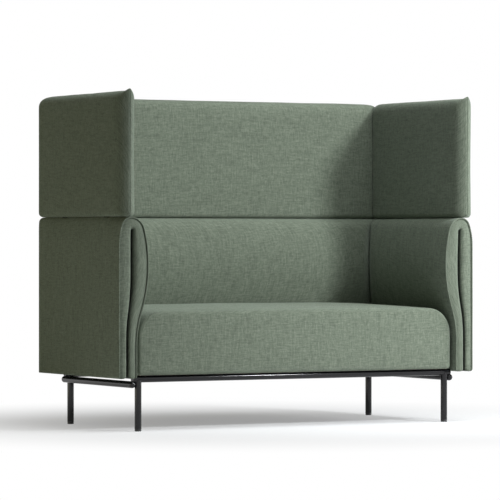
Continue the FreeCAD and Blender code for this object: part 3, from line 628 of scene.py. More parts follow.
def fuller(size, rib, part):
    """A rib whose outer curve is filled out by a part of what it is at a corner."""
    inwards, rise = rib.outer
    if inwards <= size.top_in and rise > size.bulge_rise:
        inwards *= 1 - size.corner_fill * part
    return Rib((inwards, rise), rib.slit, rib.turn)


def end_line(size, rib, end):
    """Points across an end of a rib: distance in and height, place along the pad, grip and painted shade."""
    marks, place, way, corner = end
    rib = fuller(size, rib, corner)
    return [(rib.at(part), place + way * short, grip, shade) for part, short, grip, shade in marks(size, rib)]


def filled_part(size, along, end):
    """How much of the corner filling there is at a place along the pad, as far as one end is concerned."""
    off = min(abs(along - end[1]) / size.corner_reach, 1.0)
    if end[3]:
        return mix(1.0, size.length_fill, off)
    return size.length_fill * off * off * (3 - 2 * off)


def fold_pad(name, context, place, near, far, run):
    """A folded pad that runs along place's second axis between two ends, and the points of its front seam.

    An end is the marks across it, where it lies, which way leads into the pad and 1 if it is a corner.
    """
    size = settings(context).fold
    padding = settings(context).padding
    inner = max(2, round(run / padding.spacing))
    rings = []
    grips = []
    shades = []
    for rib in fold_ribs(size, padding.spacing):
        near_line = end_line(size, rib, near)
        far_line = end_line(size, rib, far)
        closing = 0.0 if rib.turn > 0 else (size.slit_width - size.slit_closed) / 2 / rib.span()
        outside = []
        inside = []
        for k in range(1, inner):
            along = mix(near_line[0][1], far_line[0][1], k / inner)
            nearest = min((near, far), key=lambda end: abs(along - end[1]))
            full = filled_part(size, along, nearest)
            outside.append((fuller(size, rib, full).at(0.0), along, 0.0, 0.0))
            along = mix(far_line[-1][1], near_line[-1][1], k / inner)
            squeeze = min(1.0, k / 2, (inner - k) / 2)
            # Points on the slit's walls are held and get full painted shade
            inside.append((rib.at(1.0 + closing * squeeze), along, 1.0, 1.0))
        line = near_line[:1] + outside + far_line + inside + near_line[:0:-1]
        ring = []
        for (inwards, rise), along, grip, shade in line:
            ring.append(place(inwards, along, ARM_LOW.z + rise))
            grips.append(1.0 if rib.turn > 0 else max(grip, carried(size, rib.outer)))
            shades.append(shade)
        rings.append(ring)
    caps = fold_cap(inner, len(near_line), len(far_line))
    mesh = skin_mesh(name, rings, caps)
    mark_shade(mesh, shades)
    piece = new_object(name, mesh)
    upholster(piece, grips)
    size_of_ring = len(rings[0])
    seam = [row * size_of_ring + size_of_ring - SEAM_MARK for row in range(len(rings))]
    return piece, seam


def mark_shade(mesh, shades):
    """Mark the points deep in the slit and the seam, where the cover's colour is darkened as painted shade.
    """
    layer = mesh.attributes.new("shade", "FLOAT", "POINT")
    layer.data.foreach_set("value", shades)


def fold_cap(inner, near_count, far_count):
    """Faces over a leg's flat underside."""
    outside = list(range(inner + 1))
    first_inside = inner + far_count - 1
    inside = list(range(first_inside, first_inside + inner + 1))[::-1]
    faces = []
    for k in range(inner):
        faces.append([outside[k], outside[k + 1], inside[k + 1], inside[k]])
    faces.append(list(range(inner, inner + far_count)))
    faces.append([0] + list(range(first_inside + inner, first_inside + inner + near_count - 1)))
    return faces


def in_left(inwards, along, height):
    """A point of the left side: distance in from its outer face, place along it and height."""
    return Vector((SIDE_X + inwards, along, height))


def in_back(inwards, along, height):
    """A point of the back, in the same way."""
    return Vector((along, BACK_Y - inwards, height))


# Pillow-like screens

THIN_FLAT = 0.0003  # half width of the flat left between the rounded edges where a screen is thin
THIN_RADIUS = 0.0001  # least radius of those edges
FOOT_HELD = 0.012  # height over which the grip at the foot fades
FOOT_GRIP = 1.5  # grip at the foot before it is cut to 1, so that it fades from half that height on
NOSE_TURNS = (70, 64, 56, 46, 35, 23, 11, 0)
# Groove of the front seam: half width, share of the seam's depth, and inset of its ends
GROOVE = ((0.0004, 1.0, 0.004), (0.0012, 0.5, 0.002))
# Rounded end towards a mitre: shares of its length and grips
END_PARTS = (1.0, 0.7, 0.45, 0.25, 0.12, 0.04, 0.012)
END_GRIPS = [0.0, 0.2, 0.5, 0.8, 1.0, 1.0, 1.0]


def half_section(half, low, high, size, spacing):
    """Right half of a screen seen end on, from the middle of its foot to the middle of its top."""
    room = max(half - THIN_FLAT, THIN_RADIUS)
    top_r = min(size.top_radius, room)
    foot_r = min(size.foot_radius, room)
    count = round((SCREEN_HIGH.z - SCREEN_LOW.z) / spacing)
    points = [(0.0, low), ((half - foot_r) / 2, low)]
    points += [polar((half - foot_r, low + foot_r), foot_r, turn - 90) for turn in ROUND]
    start = low + foot_r
    end = high - top_r
    points += [(half, mix(start, end, index / count)) for index in range(1, count)]
    points += [polar((half - top_r, high - top_r), top_r, turn) for turn in ROUND]
    points += [((half - top_r) / 2, high), (0.0, high)]
    return points


def screen_ring(middle, half, low, high, size, spacing, place):
    """A ring round a screen. Place takes a distance in and a height."""
    points = half_section(half, low, high, size, spacing)
    right = [(middle + across, height) for across, height in points]
    left = [(middle - across, height) for across, height in points[-2:0:-1]]
    return [place(inwards, height) for inwards, height in right + left]


def nose_rings(size, spacing):
    """Rings from the bottom of the front seam's groove to the end of the nose."""
    half = size.thickness / 2
    nose_r = (size.nose_length**2 + half**2) / (2 * half)
    seam_turn = math.degrees(math.asin(size.nose_length / nose_r))
    marks = [(swell, size.seam_depth * part, inset) for swell, part, inset in GROOVE]
    for turn in NOSE_TURNS:
        turn = min(turn, seam_turn)
        swell = half - nose_r * (1 - math.cos(math.radians(turn)))
        marks.append((swell, size.nose_length - nose_r * math.sin(math.radians(turn)), 0.0))
    rings = []
    for swell, back, inset in marks:
        ear = size.ear_height * max(1 - back / size.ear_length, 0.0) ** 2
        low = SCREEN_LOW.z - size.foot_drop + rounding(back, size.nose_foot_radius) + inset
        high = SCREEN_HIGH.z + ear - inset
        along = SCREEN_FRONT + back

        def place(inwards, height):
            return in_left(inwards, along, height)

        rings.append(screen_ring(half, swell, low, high, size, spacing, place))
    return rings


def end_rings(size, spacing, place):
    """Rings up to the mitre. Place takes a distance in, a distance short of the far wall and a height."""
    corner_r = settings(bpy.context).fold.corner_radius
    low = SCREEN_LOW.z - size.foot_drop
    rings = []
    for part in END_PARTS:
        step = part * size.end_length
        fade = 1 - math.sqrt(1 - (1 - part) ** 2)
        corner_turn = math.acos(min(step / (corner_r * math.sqrt(2)), 1.0)) - math.pi / 4
        outer = corner_r * (1 - math.cos(max(corner_turn, 0.0)))
        inner = size.thickness - size.end_ease * fade
        high = SCREEN_HIGH.z - size.notch_depth * fade

        def at(inwards, height):
            return place(inwards, inwards + step, height)

        rings.append(screen_ring((outer + inner) / 2, (inner - outer) / 2, low, high, size, spacing, at))
    return rings


def make_side_screen(context):
    size = settings(context).screen
    spacing = settings(context).padding.spacing
    nose = nose_rings(size, spacing)
    ends = end_rings(size, spacing, lambda inwards, short, height: in_left(inwards, BACK_Y - short, height))
    body = between(nose[-1], ends[0], spacing)
    loose = len(nose) + len(body) - len(GROOVE)
    grips = [1.0] * len(GROOVE) + [0.0] * loose + END_GRIPS
    return screen_piece("left_screen", nose + body + ends, grips)


def make_back_screen(context):
    size = settings(context).screen
    spacing = settings(context).padding.spacing
    ends = end_rings(size, spacing, lambda inwards, short, height: in_back(inwards, SIDE_X + short, height))
    other = [flipped(ring) for ring in ends]
    body = between(ends[0], other[0], spacing)
    grips = END_GRIPS[::-1] + [0.0] * len(body) + END_GRIPS
    return screen_piece("back_screen", ends[::-1] + body + other, grips)


def between(one, other, spacing):
    """Rings in even steps between two rings."""
    run = max((b - a).length for a, b in zip(one, other))
    count = max(2, round(run / spacing))
    return [[a.lerp(b, k / count) for a, b in zip(one, other)] for k in range(1, count)]


def screen_piece(name, rings, ring_grips):
    """A screen's cover, held at its foot and where its rings are, and half of its first ring's points."""
    size = len(rings[0])
    grips = []
    for ring, grip in zip(rings, ring_grips):
        for point in ring:
            foot = FOOT_GRIP - (point.z - SCREEN_LOW.z) / FOOT_HELD
            grips.append(max(grip, min(max(foot, 0.0), 1.0)))
    piece = new_object(name, skin_mesh(name, rings, paired_cap(size)))
    upholster(piece, grips)
    return piece, list(range(size // 2 + 1))


# Seat cushion

LEAST_FOOT = 0.001  # least radius of the lower ends, where the outline is drawn in
LEAST_END = 0.004  # least size of the upper ends there
STRIP = 0.004  # half height of the strip in the middle of the front and rear faces
FACE_PARTS = (1.0, 0.82, 0.64, 0.46, 0.3, 0.16, 0.07)  # rings over those faces, from the strip outwards
EDGE_PARTS = (0.0, 0.08, 0.3, 0.6, 1.0)  # rings round their edges


def seat_half_outline(inset, crown, size, spacing):
    """Right half of the seat seen from the front, drawn in by inset, from the foot's middle to the top's."""
    half = SEAT_HIGH.x - inset
    low = SEAT_LOW.z + inset
    shoulder = SEAT_HIGH.z - size.crown - inset
    foot_r = max(size.foot_radius - inset, LEAST_FOOT)
    end_r = max(size.end_radius - inset, LEAST_END)
    end_l = max(size.end_length - inset, LEAST_END)
    foot_count = round((SEAT_HIGH.x - size.end_radius) / spacing)
    side_count = round((SEAT_HEIGHT - size.end_radius) / spacing)
    end_count = round(size.end_radius * math.pi / 2 / spacing)
    points = [(mix(0.0, half - foot_r, k / foot_count), low) for k in range(foot_count)]
    points += [polar((half - foot_r, low + foot_r), foot_r, turn - 90) for turn in ROUND]
    top = shoulder - end_r
    points += [(half, mix(low + foot_r, top, k / side_count)) for k in range(1, side_count)]
    for k in range(end_count):
        turn = math.pi / 2 * k / end_count
        points.append((half - end_l * (1 - math.cos(turn)), top + end_r * math.sin(turn)))
    for k in range(foot_count + 1):
        across = mix(half - end_l, 0.0, k / foot_count)
        points.append((across, shoulder + crown * (1 - (across / (half - end_l)) ** 2)))
    return points


def seat_cap(outline_count, foot_count):
    """Faces over the strip that is left of the outline, from its foot to its top, on both sides."""
    size = 2 * outline_count - 2
    right = []
    for k in range(foot_count - 1):
        right.append([k, k + 1, outline_count - 2 - k, outline_count - 1 - k])
    right.append(list(range(foot_count - 1, outline_count - foot_count + 1)))
    left = [[(size - index) % size for index in face] for face in right]
    return right + left


def make_seat(context):
    size = settings(context).seat
    spacing = settings(context).padding.spacing
    radius = size.edge_radius
    deepest = (SEAT_HIGH.z - size.crown - SEAT_LOW.z) / 2 - STRIP
    marks = [(radius + (deepest - radius) * part, SEAT_LOW.y) for part in FACE_PARTS]
    marks += [(rounding(radius * part, radius), SEAT_LOW.y + radius * part) for part in EDGE_PARTS]
    rear_marks = [(inset, SEAT_LOW.y + SEAT_HIGH.y - y) for inset, y in marks[::-1]]
    depth = SEAT_HIGH.y - SEAT_LOW.y
    middle = [(0.0, y) for y in spread(SEAT_LOW.y + radius, SEAT_HIGH.y - radius, spacing)[1:-1]]
    rings = []
    for inset, y in marks + middle + rear_marks:
        bow = 1 - (2 * (y - SEAT_LOW.y) / depth - 1) ** 2
        crown = mix(size.crown / 2, size.crown, bow)
        points = seat_half_outline(inset, crown, size, spacing)
        fall = size.front_fall * (SEAT_HIGH.y - y) / depth / SEAT_HEIGHT
        points = [(across, height - fall * (height - SEAT_LOW.z)) for across, height in points]
        line = points + [(-across, height) for across, height in points[-2:0:-1]]
        rings.append([Vector((across, y, height)) for across, height in line])
    held_below = SEAT_LOW.z + size.foot_radius / 2
    grips = [1.0 if point.z < held_below else 0.0 for ring in rings for point in ring]
    foot_count = round((SEAT_HIGH.x - size.end_radius) / spacing)
    caps = seat_cap(len(points), foot_count)
    piece = new_object("seat", skin_mesh("seat", rings, caps, flat_rings=len(FACE_PARTS)))
    upholster(piece, grips)
    return piece


# Steel-tube base

END_REACH = 0.001  # how far a rod's flat end is drawn in before it is capped
DOME_STEPS = 10
DOME_TIP = 0.0005  # radius at which a dome is capped
RAIL_BEVEL = 0.0012
LEG_BEVEL = 0.0008
WELD_STEPS = 48
WELD_FACETS = (8, 5)  # facets round a ripple and from end to end
STITCH_FACETS = (6, 5)  # and of a stitch
STUD_RADIUS = 0.004
STUD_BEVEL = 0.001
STUD_FILLET = (0.0004, 0.0005)  # height and width of the fillet at a stud's foot
FOOT_DISC = 0.008  # height of a foot's disc
SOLE_DISH = 0.0006
SOLE_TIP = 0.002  # radius at which the sole is capped
DISH_PARTS = (0.55, 0.62)  # where the dish's slope starts and ends, as shares of the radius
# A foot's rim from its sole up, with a groove: heights and distances in
FOOT_RIM = (
    (0.0, 0.0020),
    (0.0003, 0.0010),
    (0.0010, 0.0003),
    (0.0018, 0.0),
    (0.0045, 0.0),
    (0.0050, 0.0006),
    (0.0055, 0.0006),
    (0.0060, 0.0),
    (FOOT_DISC - 0.0006, 0.0),
    (FOOT_DISC - 0.0002, 0.0003),
    (FOOT_DISC, 0.0010),
)


def lathe(name, profile, start, along, sides=40):
    """A turned piece: profile is distances along the axis and radii, from one end to the other."""
    along = Vector(along).normalized()
    across = along.orthogonal().normalized()
    other = along.cross(across)
    rings = []
    for run, radius in profile:
        ring = []
        for index in range(sides):
            turn = 2 * math.pi * index / sides
            spoke = across * math.cos(turn) + other * math.sin(turn)
            ring.append(Vector(start) + along * run + spoke * radius)
        rings.append(ring)
    mesh = skin_mesh(name, rings, [list(range(sides))])
    mesh.shade_smooth()
    return mesh


def two_ended(half, run):
    """Profile of a rod from that of one end and the run to the other."""
    return half + [(run - back, wide) for back, wide in half[::-1]]


def bevelled(run, radius, bevel):
    """Profile of a rod with rounded rims."""
    rims = [quarter(bevel, turn) for turn in ROUND]
    rims = [(back, radius - inset) for back, inset in rims]
    return two_ended([(0.0, radius - bevel - END_REACH)] + rims, run)


def domed(run, radius):
    """Profile of a rod with half-round ends whose centres are a run apart."""
    turns = [math.radians(90 * k / DOME_STEPS) for k in range(1, DOME_STEPS + 1)]
    dome = [(-radius * math.cos(turn), radius * math.sin(turn)) for turn in turns]
    return two_ended([(-radius, DOME_TIP)] + dome, run)


def leg_places():
    """Node prefix and place of each leg's axis."""
    places = []
    for prefix in ("left_front", "right_front", "left_rear", "right_rear"):
        low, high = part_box(prefix + "_leg")
        places.append((prefix, Vector(((low.x + high.x) / 2, (low.y + high.y) / 2, 0.0))))
    return places


def add_tube(node, profile, start, along):
    """A turned tube of the base in place of a node."""
    mesh = lathe(node + "_tube", profile, start, along)
    mesh.materials.append(finish("frame_black"))
    piece = new_object(node + "_tube", mesh)
    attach(piece, BODY)
    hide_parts(node)


def make_rails():
    for node in ("front_rail", "rear_rail"):
        low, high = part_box(node)
        start = (low.x, (low.y + high.y) / 2, RAIL_MIDDLE)
        add_tube(node, bevelled(high.x - low.x, TUBE_RADIUS, RAIL_BEVEL), start, (1, 0, 0))
    for node in ("left_side_rail", "right_side_rail"):
        low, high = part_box(node)
        start = ((low.x + high.x) / 2, low.y + TUBE_RADIUS, (low.z + high.z) / 2)
        add_tube(node, domed(high.y - low.y - 2 * TUBE_RADIUS, TUBE_RADIUS), start, (0, 1, 0))


def make_legs():
    profile = bevelled(RAIL_MIDDLE - LEG_FOOT, TUBE_RADIUS, LEG_BEVEL)
    for prefix, axis in leg_places():
        add_tube(prefix + "_leg", profile, axis + Vector((0, 0, LEG_FOOT)), (0, 0, 1))


def make_feet():
    """Turned feet with a groove under the rim and a slightly dished sole."""
    radius = (FOOT_HIGH.x - FOOT_LOW.x) / 2
    profile = [(SOLE_DISH, SOLE_TIP), (SOLE_DISH, radius * DISH_PARTS[0]), (0.0, radius * DISH_PARTS[1])]
    profile += [(rise, radius - inset) for rise, inset in FOOT_RIM]
    profile += [
        (FOOT_DISC, STUD_RADIUS + STUD_FILLET[1]),
        (FOOT_DISC + STUD_FILLET[0], STUD_RADIUS),
        (FOOT_HIGH.z - STUD_BEVEL, STUD_RADIUS),
        (FOOT_HIGH.z, STUD_RADIUS - STUD_BEVEL),
    ]
    for prefix, axis in leg_places():
        name = prefix + "_glide"
        mesh = lathe(name, profile, axis, (0, 0, 1))
        mesh.materials.append(finish("foot_plastic"))
        piece = new_object(name, mesh)
        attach(piece, prefix + "_foot")
        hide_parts(prefix + "_foot")


# Node trees


class Nodes:
    """A node tree with short ways to add and join nodes."""

    def __init__(self, tree):
        self.tree = tree

    def add(self, kind, inputs=(), **values):
        """A node with values of its own, whose inputs are joined to sockets or set."""
        node = self.tree.nodes.new(kind)
        for key, value in values.items():
            setattr(node, key, value)
        for key, value in dict(inputs).items():
            self.feed(node, key, value)
        return node

    def feed(self, node, key, value):
        if isinstance(value, bpy.types.NodeSocket):
            self.tree.links.new(value, node.inputs[key])
        else:
            node.inputs[key].default_value = value

    def math(self, operation, *values):
        return self.add("ShaderNodeMath", enumerate(values), operation=operation).outputs[0]


# Geometry Nodes: what repeats along a line


def socket(tree, name):
    return next(item.identifier for item in tree.interface.items_tree if item.name == name)


def beads_tree(name, material, segments, rings):
    """A tree that sets small oval beads along each line of a wire, lengthwise."""
    tree = bpy.data.node_groups.new(name, "GeometryNodeTree")
    for title, kind in (("Geometry", "Geometry"), ("Pitch", "Float"), ("Shape", "Vector")):
        tree.interface.new_socket(title, in_out="INPUT", socket_type="NodeSocket" + kind)
    tree.interface.new_socket("Geometry", in_out="OUTPUT", socket_type="NodeSocketGeometry")
    nodes = Nodes(tree)
    source = nodes.add("NodeGroupInput").outputs
    curve = nodes.add("GeometryNodeMeshToCurve", {"Mesh": source["Geometry"]}).outputs["Curve"]
    steps = {"Curve": curve, "Length": source["Pitch"]}
    points = nodes.add("GeometryNodeCurveToPoints", steps, mode="LENGTH").outputs
    ball = {"Segments": segments, "Rings": rings, "Radius": 0.5}
    bead = nodes.add("GeometryNodeMeshUVSphere", ball).outputs["Mesh"]
    row = {key: points[key] for key in ("Points", "Rotation")}
    row.update({"Instance": bead, "Scale": source["Shape"]})
    beads = nodes.add("GeometryNodeInstanceOnPoints", row).outputs["Instances"]
    for kind in ("RealizeInstances", "SetShadeSmooth", "SetMaterial"):
        node = nodes.add("GeometryNode" + kind, {"Geometry": beads})
        beads = node.outputs["Geometry"]
    node.inputs["Material"].default_value = material
    nodes.add("NodeGroupOutput", {"Geometry": beads})
    return tree


def beads_along(name, lines, tree, pitch, shape, material):
    """A plain mesh of beads along lines of points."""
    points = []
    edges = []
    for line in lines:
        first = len(points)
        points += [tuple(point) for point in line]
        edges += [(first + k, first + k + 1) for k in range(len(line) - 1)]
    wire = bpy.data.meshes.new(name + "_wire")
    wire.from_pydata(points, edges, [])
    carrier = new_object(name + "_wire", wire)
    nodes = carrier.modifiers.new("beads", "NODES")
    nodes.node_group = tree
    nodes[socket(tree, "Pitch")] = pitch
    nodes[socket(tree, "Shape")] = shape
    evaluated = carrier.evaluated_get(bpy.context.evaluated_depsgraph_get())
    mesh = bpy.data.meshes.new_from_object(evaluated)
    carrier.modifiers.remove(nodes)
    bpy.data.objects.remove(carrier)
    bpy.data.meshes.remove(wire)
    if not mesh.polygons:
        raise RuntimeError(name + " came out empty")
    mesh.name = name
    if not mesh.materials:
        mesh.materials.append(material)
    return new_object(name, mesh)


def weld_lines():
    """Lines where each leg meets its cross rail."""
    lines = []
    for _, axis in leg_places():
        line = []
        for index in range(WELD_STEPS + 1):
            turn = 2 * math.pi * index / WELD_STEPS
            across = TUBE_RADIUS * math.sin(turn)
            drop = math.sqrt(max(TUBE_RADIUS**2 - across**2, 0.0))
            line.append(axis + Vector((TUBE_RADIUS * math.cos(turn), across, RAIL_MIDDLE - drop)))
        lines.append(line)
    return lines


# Finishes

YARN_STEP = 3.7  # step from yarn to yarn through the noise that tones them
WEFT_LAYER = 9.0  # and from the warp's tones to the weft's
SLUB_LAYERS = 1000  # sets the slubs of the two ways apart in their noise
YARN_PART = 0.5  # share of the yarns in the fabric's tone
SLUB_PART = 0.25  # share of each way's slubs in it
TONE_ENDS = (0.36, 0.64)  # where the tone is at its darkest and lightest
WEAVE_STRENGTH = 0.6
WEAVE_ROUGH = (0.95, 0.82)  # at the darkest and lightest tone
GRAIN_STOPS = (0.3, 0.7)  # where a grain is at its first and second tint
WOOL = {
    "Sheen Weight": 0.25,
    "Sheen Roughness": 0.45,
    "Sheen Tint": (0.75, 0.85, 0.75, 1.0),
    "Specular IOR Level": 0.2,
}


class Shader(Nodes):
    """A material's node tree with short ways to add what the finishes need."""

    def __init__(self, name, plain=()):
        self.material = bpy.data.materials.new(name)
        self.material.use_nodes = True
        super().__init__(self.material.node_tree)
        self.surface = self.tree.nodes["Principled BSDF"]
        for key, value in dict(plain).items():
            self.feed(self.surface, key, value)

    def times(self, one, other):
        return self.math("MULTIPLY", one, other)

    def plus(self, one, other):
        return self.math("ADD", one, other)

    def combine(self, *values):
        return self.add("ShaderNodeCombineXYZ", enumerate(values)).outputs[0]

    def noise(self, vector, detail, roughness=0.5):
        inputs = {"Vector": vector, "Scale": 1.0, "Detail": detail, "Roughness": roughness}
        return self.add("ShaderNodeTexNoise", inputs).outputs["Fac"]

    def ramp(self, source, *stops):
        """Colours at places along a source that runs from 0 to 1."""
        node = self.add("ShaderNodeValToRGB", {"Fac": source})
        for element, (place, tint) in zip(node.color_ramp.elements, stops):
            element.position = place
            element.color = (*tint, 1.0)
        return node.outputs["Color"]

    def darkened(self, tint, attribute, part):
        """A tint that loses a part of its brightness where an attribute is 1, for painted shade."""
        mark = self.add("ShaderNodeAttribute", attribute_name=attribute).outputs["Fac"]
        left = self.math("SUBTRACT", 1.0, self.times(mark, part))
        return self.add("ShaderNodeVectorMath", {0: tint, "Scale": left}, operation="SCALE").outputs["Vector"]

    def base(self, tint):
        self.feed(self.surface, "Base Color", tint)

    def rough(self, source, low, high):
        inputs = {"Value": source, "To Min": low, "To Max": high}
        self.feed(self.surface, "Roughness", self.add("ShaderNodeMapRange", inputs).outputs["Result"])

    def bump(self, height, distance, strength):
        inputs = {"Height": height, "Distance": distance, "Strength": strength}
        self.feed(self.surface, "Normal", self.add("ShaderNodeBump", inputs).outputs["Normal"])

    def object_space(self, *scale):
        """Object coordinates, scaled by one number or by one for each axis."""
        place = self.add("ShaderNodeTexCoord").outputs["Object"]
        inputs = {"Vector": place, "Scale": (scale * 3)[:3]}
        return self.add("ShaderNodeMapping", inputs).outputs["Vector"]

    def dress(self, tone, stops, grain, rough, relief):
        """Tints along a tone; roughness, and relief with its strength, along a grain."""
        self.base(self.ramp(tone, *stops))
        self.rough(grain, *rough)
        self.bump(grain, *relief)
        return self.material


def grained(name, scale, detail, tints, rough, relief, plain=()):
    """A finish with one grain all over."""
    shader = Shader(name, plain)
    grain = shader.noise(shader.object_space(*scale), detail)
    return shader.dress(grain, zip(GRAIN_STOPS, tints), grain, rough, relief)


def toned(tint, part):
    return tuple(channel * part for channel in tint)


def make_upholstery(name):
    """Plain weave of heathered wool yarn."""
    look = settings(bpy.context).fabric
    shader = Shader(name, WOOL)
    weave = shader.add("ShaderNodeUVMap", uv_map="weave").outputs["UV"]
    axes = shader.add("ShaderNodeSeparateXYZ", {"Vector": weave}).outputs
    x = axes["X"]
    y = axes["Y"]
    across = shader.times(x, 1 / look.yarn)
    along = shader.times(y, 1 / look.yarn)
    warp = shader.math("FLOOR", across)
    weft = shader.math("FLOOR", along)
    over = shader.math("FLOORED_MODULO", shader.plus(warp, weft), 2.0)
    under = shader.math("SUBTRACT", 1.0, over)

    def crossed(of_warp, of_weft):
        """What belongs to the yarn that lies on top."""
        return shader.plus(shader.times(of_warp, over), shader.times(of_weft, under))

    # Each yarn changes tone along its length
    fleck = 1 / look.fleck
    warp_place = shader.combine(shader.times(warp, YARN_STEP), shader.times(y, fleck), 0.0)
    weft_place = shader.combine(shader.times(x, fleck), shader.times(weft, YARN_STEP), WEFT_LAYER)
    tone = crossed(shader.noise(warp_place, 1.0), shader.noise(weft_place, 1.0))
    # Thicker slubs run both ways through it
    slubs = 0.0
    for wide, long in ((look.slub, look.slub_length), (look.slub_length, look.slub)):
        place = shader.combine(shader.times(x, 1 / wide), shader.times(y, 1 / long), wide * SLUB_LAYERS)
        slubs = shader.plus(shader.noise(place, 1.0), slubs)
    tone = shader.plus(shader.times(tone, YARN_PART), shader.times(slubs, SLUB_PART))
    fabric = shader.ramp(tone, *zip(TONE_ENDS, (look.dark, look.light)))
    # Painted shade: the cover's colour darkened deep in the slit and the seams
    shader.base(shader.darkened(fabric, "shade", look.shade))
    # Yarns are round and dip under each other
    parts = [shader.math("FRACT", run) for run in (across, along)]
    rounds = [shader.math("SINE", shader.times(part, math.pi)) for part in parts]
    shader.bump(crossed(*rounds), look.relief, WEAVE_STRENGTH)
    shader.rough(tone, *WEAVE_ROUGH)
    return shader.material


def make_thread(name):
    """Sewing thread, a little darker between its strands."""
    tint = settings(bpy.context).seam.colour
    shader = Shader(name, {"Sheen Weight": 0.1})
    strand = shader.noise(shader.object_space(900.0), 2.0)
    shader.base(shader.ramp(strand, *zip(GRAIN_STOPS, (toned(tint, 0.8), tint))))
    shader.rough(strand, 0.6, 0.8)
    return shader.material


def make_frame_black(name):
    """Satin powder coat with a fine orange-peel surface."""
    tint = settings(bpy.context).metal.coat
    shader = Shader(name, {"Specular IOR Level": 0.35})
    peel = shader.noise(shader.object_space(420.0), 2.0)
    cloud = shader.noise(shader.object_space(9.0), 3.0)
    stops = zip(GRAIN_STOPS, (tint, toned(tint, 1.35)))
    return shader.dress(cloud, stops, peel, (0.12, 0.17), (0.00003, 0.4))


def make_post_black(name):
    """Dull phosphate black of the hidden posts."""
    tints = ((0.010, 0.010, 0.011), (0.018, 0.018, 0.019))
    return grained(name, (60.0,), 3.0, tints, (0.85, 0.95), (0.00004, 0.4), {"Specular IOR Level": 0.1})


def make_foot_plastic(name):
    """Moulded plastic with a fine grain."""
    tints = ((0.012, 0.012, 0.012), (0.022, 0.022, 0.023))
    return grained(name, (700.0,), 3.0, tints, (0.5, 0.7), (0.00006, 0.6))


def make_zinc_steel(name):
    """Zinc plate with soft streaks."""
    tints = ((0.48, 0.49, 0.50), (0.66, 0.66, 0.65))
    return grained(name, (60.0, 60.0, 600.0), 3.0, tints, (0.28, 0.48), (0.00004, 0.4), {"Metallic": 1.0})


def make_plywood(name):
    """Birch ply: long grain and a slower figure across it."""
    shader = Shader(name)
    grain = shader.noise(shader.object_space(6.0, 6.0, 90.0), 4.0, 0.6)
    figure = shader.noise(shader.object_space(22.0, 22.0, 3.0), 3.0)
    tone = shader.plus(shader.times(grain, 0.6), shader.times(figure, 0.4))
    shader.base(shader.ramp(tone, (0.32, (0.50, 0.36, 0.22)), (0.68, (0.74, 0.60, 0.41))))
    shader.rough(tone, 0.55, 0.75)
    shader.bump(grain, 0.0002, 0.4)
    return shader.material


def make_timber(name):
    """Planed pine with growth rings."""
    shader = Shader(name)
    place = shader.object_space(0.12, 1.0, 1.0)
    inputs = {"Vector": place, "Scale": 26.0, "Distortion": 5.0, "Detail": 3.0}
    rings = shader.add("ShaderNodeTexWave", inputs, wave_type="RINGS", rings_direction="X").outputs["Fac"]
    stops = ((0.2, (0.70, 0.54, 0.34)), (0.8, (0.52, 0.35, 0.19)))
    return shader.dress(rings, stops, rings, (0.5, 0.7), (0.0002, 0.3))


def make_webbing(name):
    """Coarse elastic strap."""
    shader = Shader(name)
    inputs = {"Vector": shader.object_space(1.0), "Scale": 400.0}
    weave = shader.add("ShaderNodeTexChecker", inputs).outputs["Fac"]
    stops = ((0.0, (0.05, 0.05, 0.055)), (1.0, (0.12, 0.12, 0.13)))
    return shader.dress(weave, stops, weave, (0.7, 0.9), (0.0003, 0.5))


def make_lining(name):
    """Black bonded cloth with a dimpled surface."""
    shader = Shader(name)
    inputs = {"Vector": shader.object_space(1.0), "Scale": 450.0}
    near = shader.add("ShaderNodeTexVoronoi", inputs).outputs["Distance"]
    stops = ((0.0, (0.030, 0.030, 0.030)), (0.6, (0.055, 0.055, 0.055)))
    return shader.dress(near, stops, near, (0.8, 0.95), (0.0003, 0.5))


FINISHES = {
    "upholstery": make_upholstery,
    "thread": make_thread,
    "frame_black": make_frame_black,
    "post_black": make_post_black,
    "foot_plastic": make_foot_plastic,
    "zinc_steel": make_zinc_steel,
    "plywood": make_plywood,
    "timber": make_timber,
    "webbing": make_webbing,
    "lining": make_lining,
}


def finish(name):
    """The material of a finish, made when it is first asked for."""
    found = bpy.data.materials.get("sofa_" + name)
    return found or FINISHES[name]("sofa_" + name)


# Operators: one for each piece or group of like pieces


class SOFA_OT_arms(bpy.types.Operator):
    """Folded pads of both arms"""

    bl_idname = "sofa.arms"
    bl_label = "Arms"

    def execute(self, context):
        near = (front_marks, ARM_LOW.y, 1, 0)
        far = (mitre_marks, BACK_Y, -1, 1)
        left, seam = fold_pad("left_arm", context, in_left, near, far, ARM_HIGH.y - ARM_LOW.y)
        left["seam"] = seam
        finish_pair(left)
        return {"FINISHED"}


class SOFA_OT_back(bpy.types.Operator):
    """Folded pad of the back"""

    bl_idname = "sofa.back"
    bl_label = "Back"

    def execute(self, context):
        near = (mitre_marks, SIDE_X, 1, 1)
        far = (mitre_marks, -SIDE_X, -1, 1)
        piece = fold_pad("back", context, in_back, near, far, -2 * SIDE_X)[0]
        finish_pad(piece, "back_pad")
        return {"FINISHED"}


class SOFA_OT_screens(bpy.types.Operator):
    """Two side screens and the back screen"""

    bl_idname = "sofa.screens"
    bl_label = "Screens"

    def execute(self, context):
        left, seam = make_side_screen(context)
        left["seam"] = seam
        finish_pair(left)
        finish_pad(make_back_screen(context)[0], "back_screen_pad")
        return {"FINISHED"}


class SOFA_OT_seat(bpy.types.Operator):
    """Seat cushion"""

    bl_idname = "sofa.seat"
    bl_label = "Seat"

    def execute(self, context):
        finish_pad(make_seat(context), "seat_cushion")
        return {"FINISHED"}


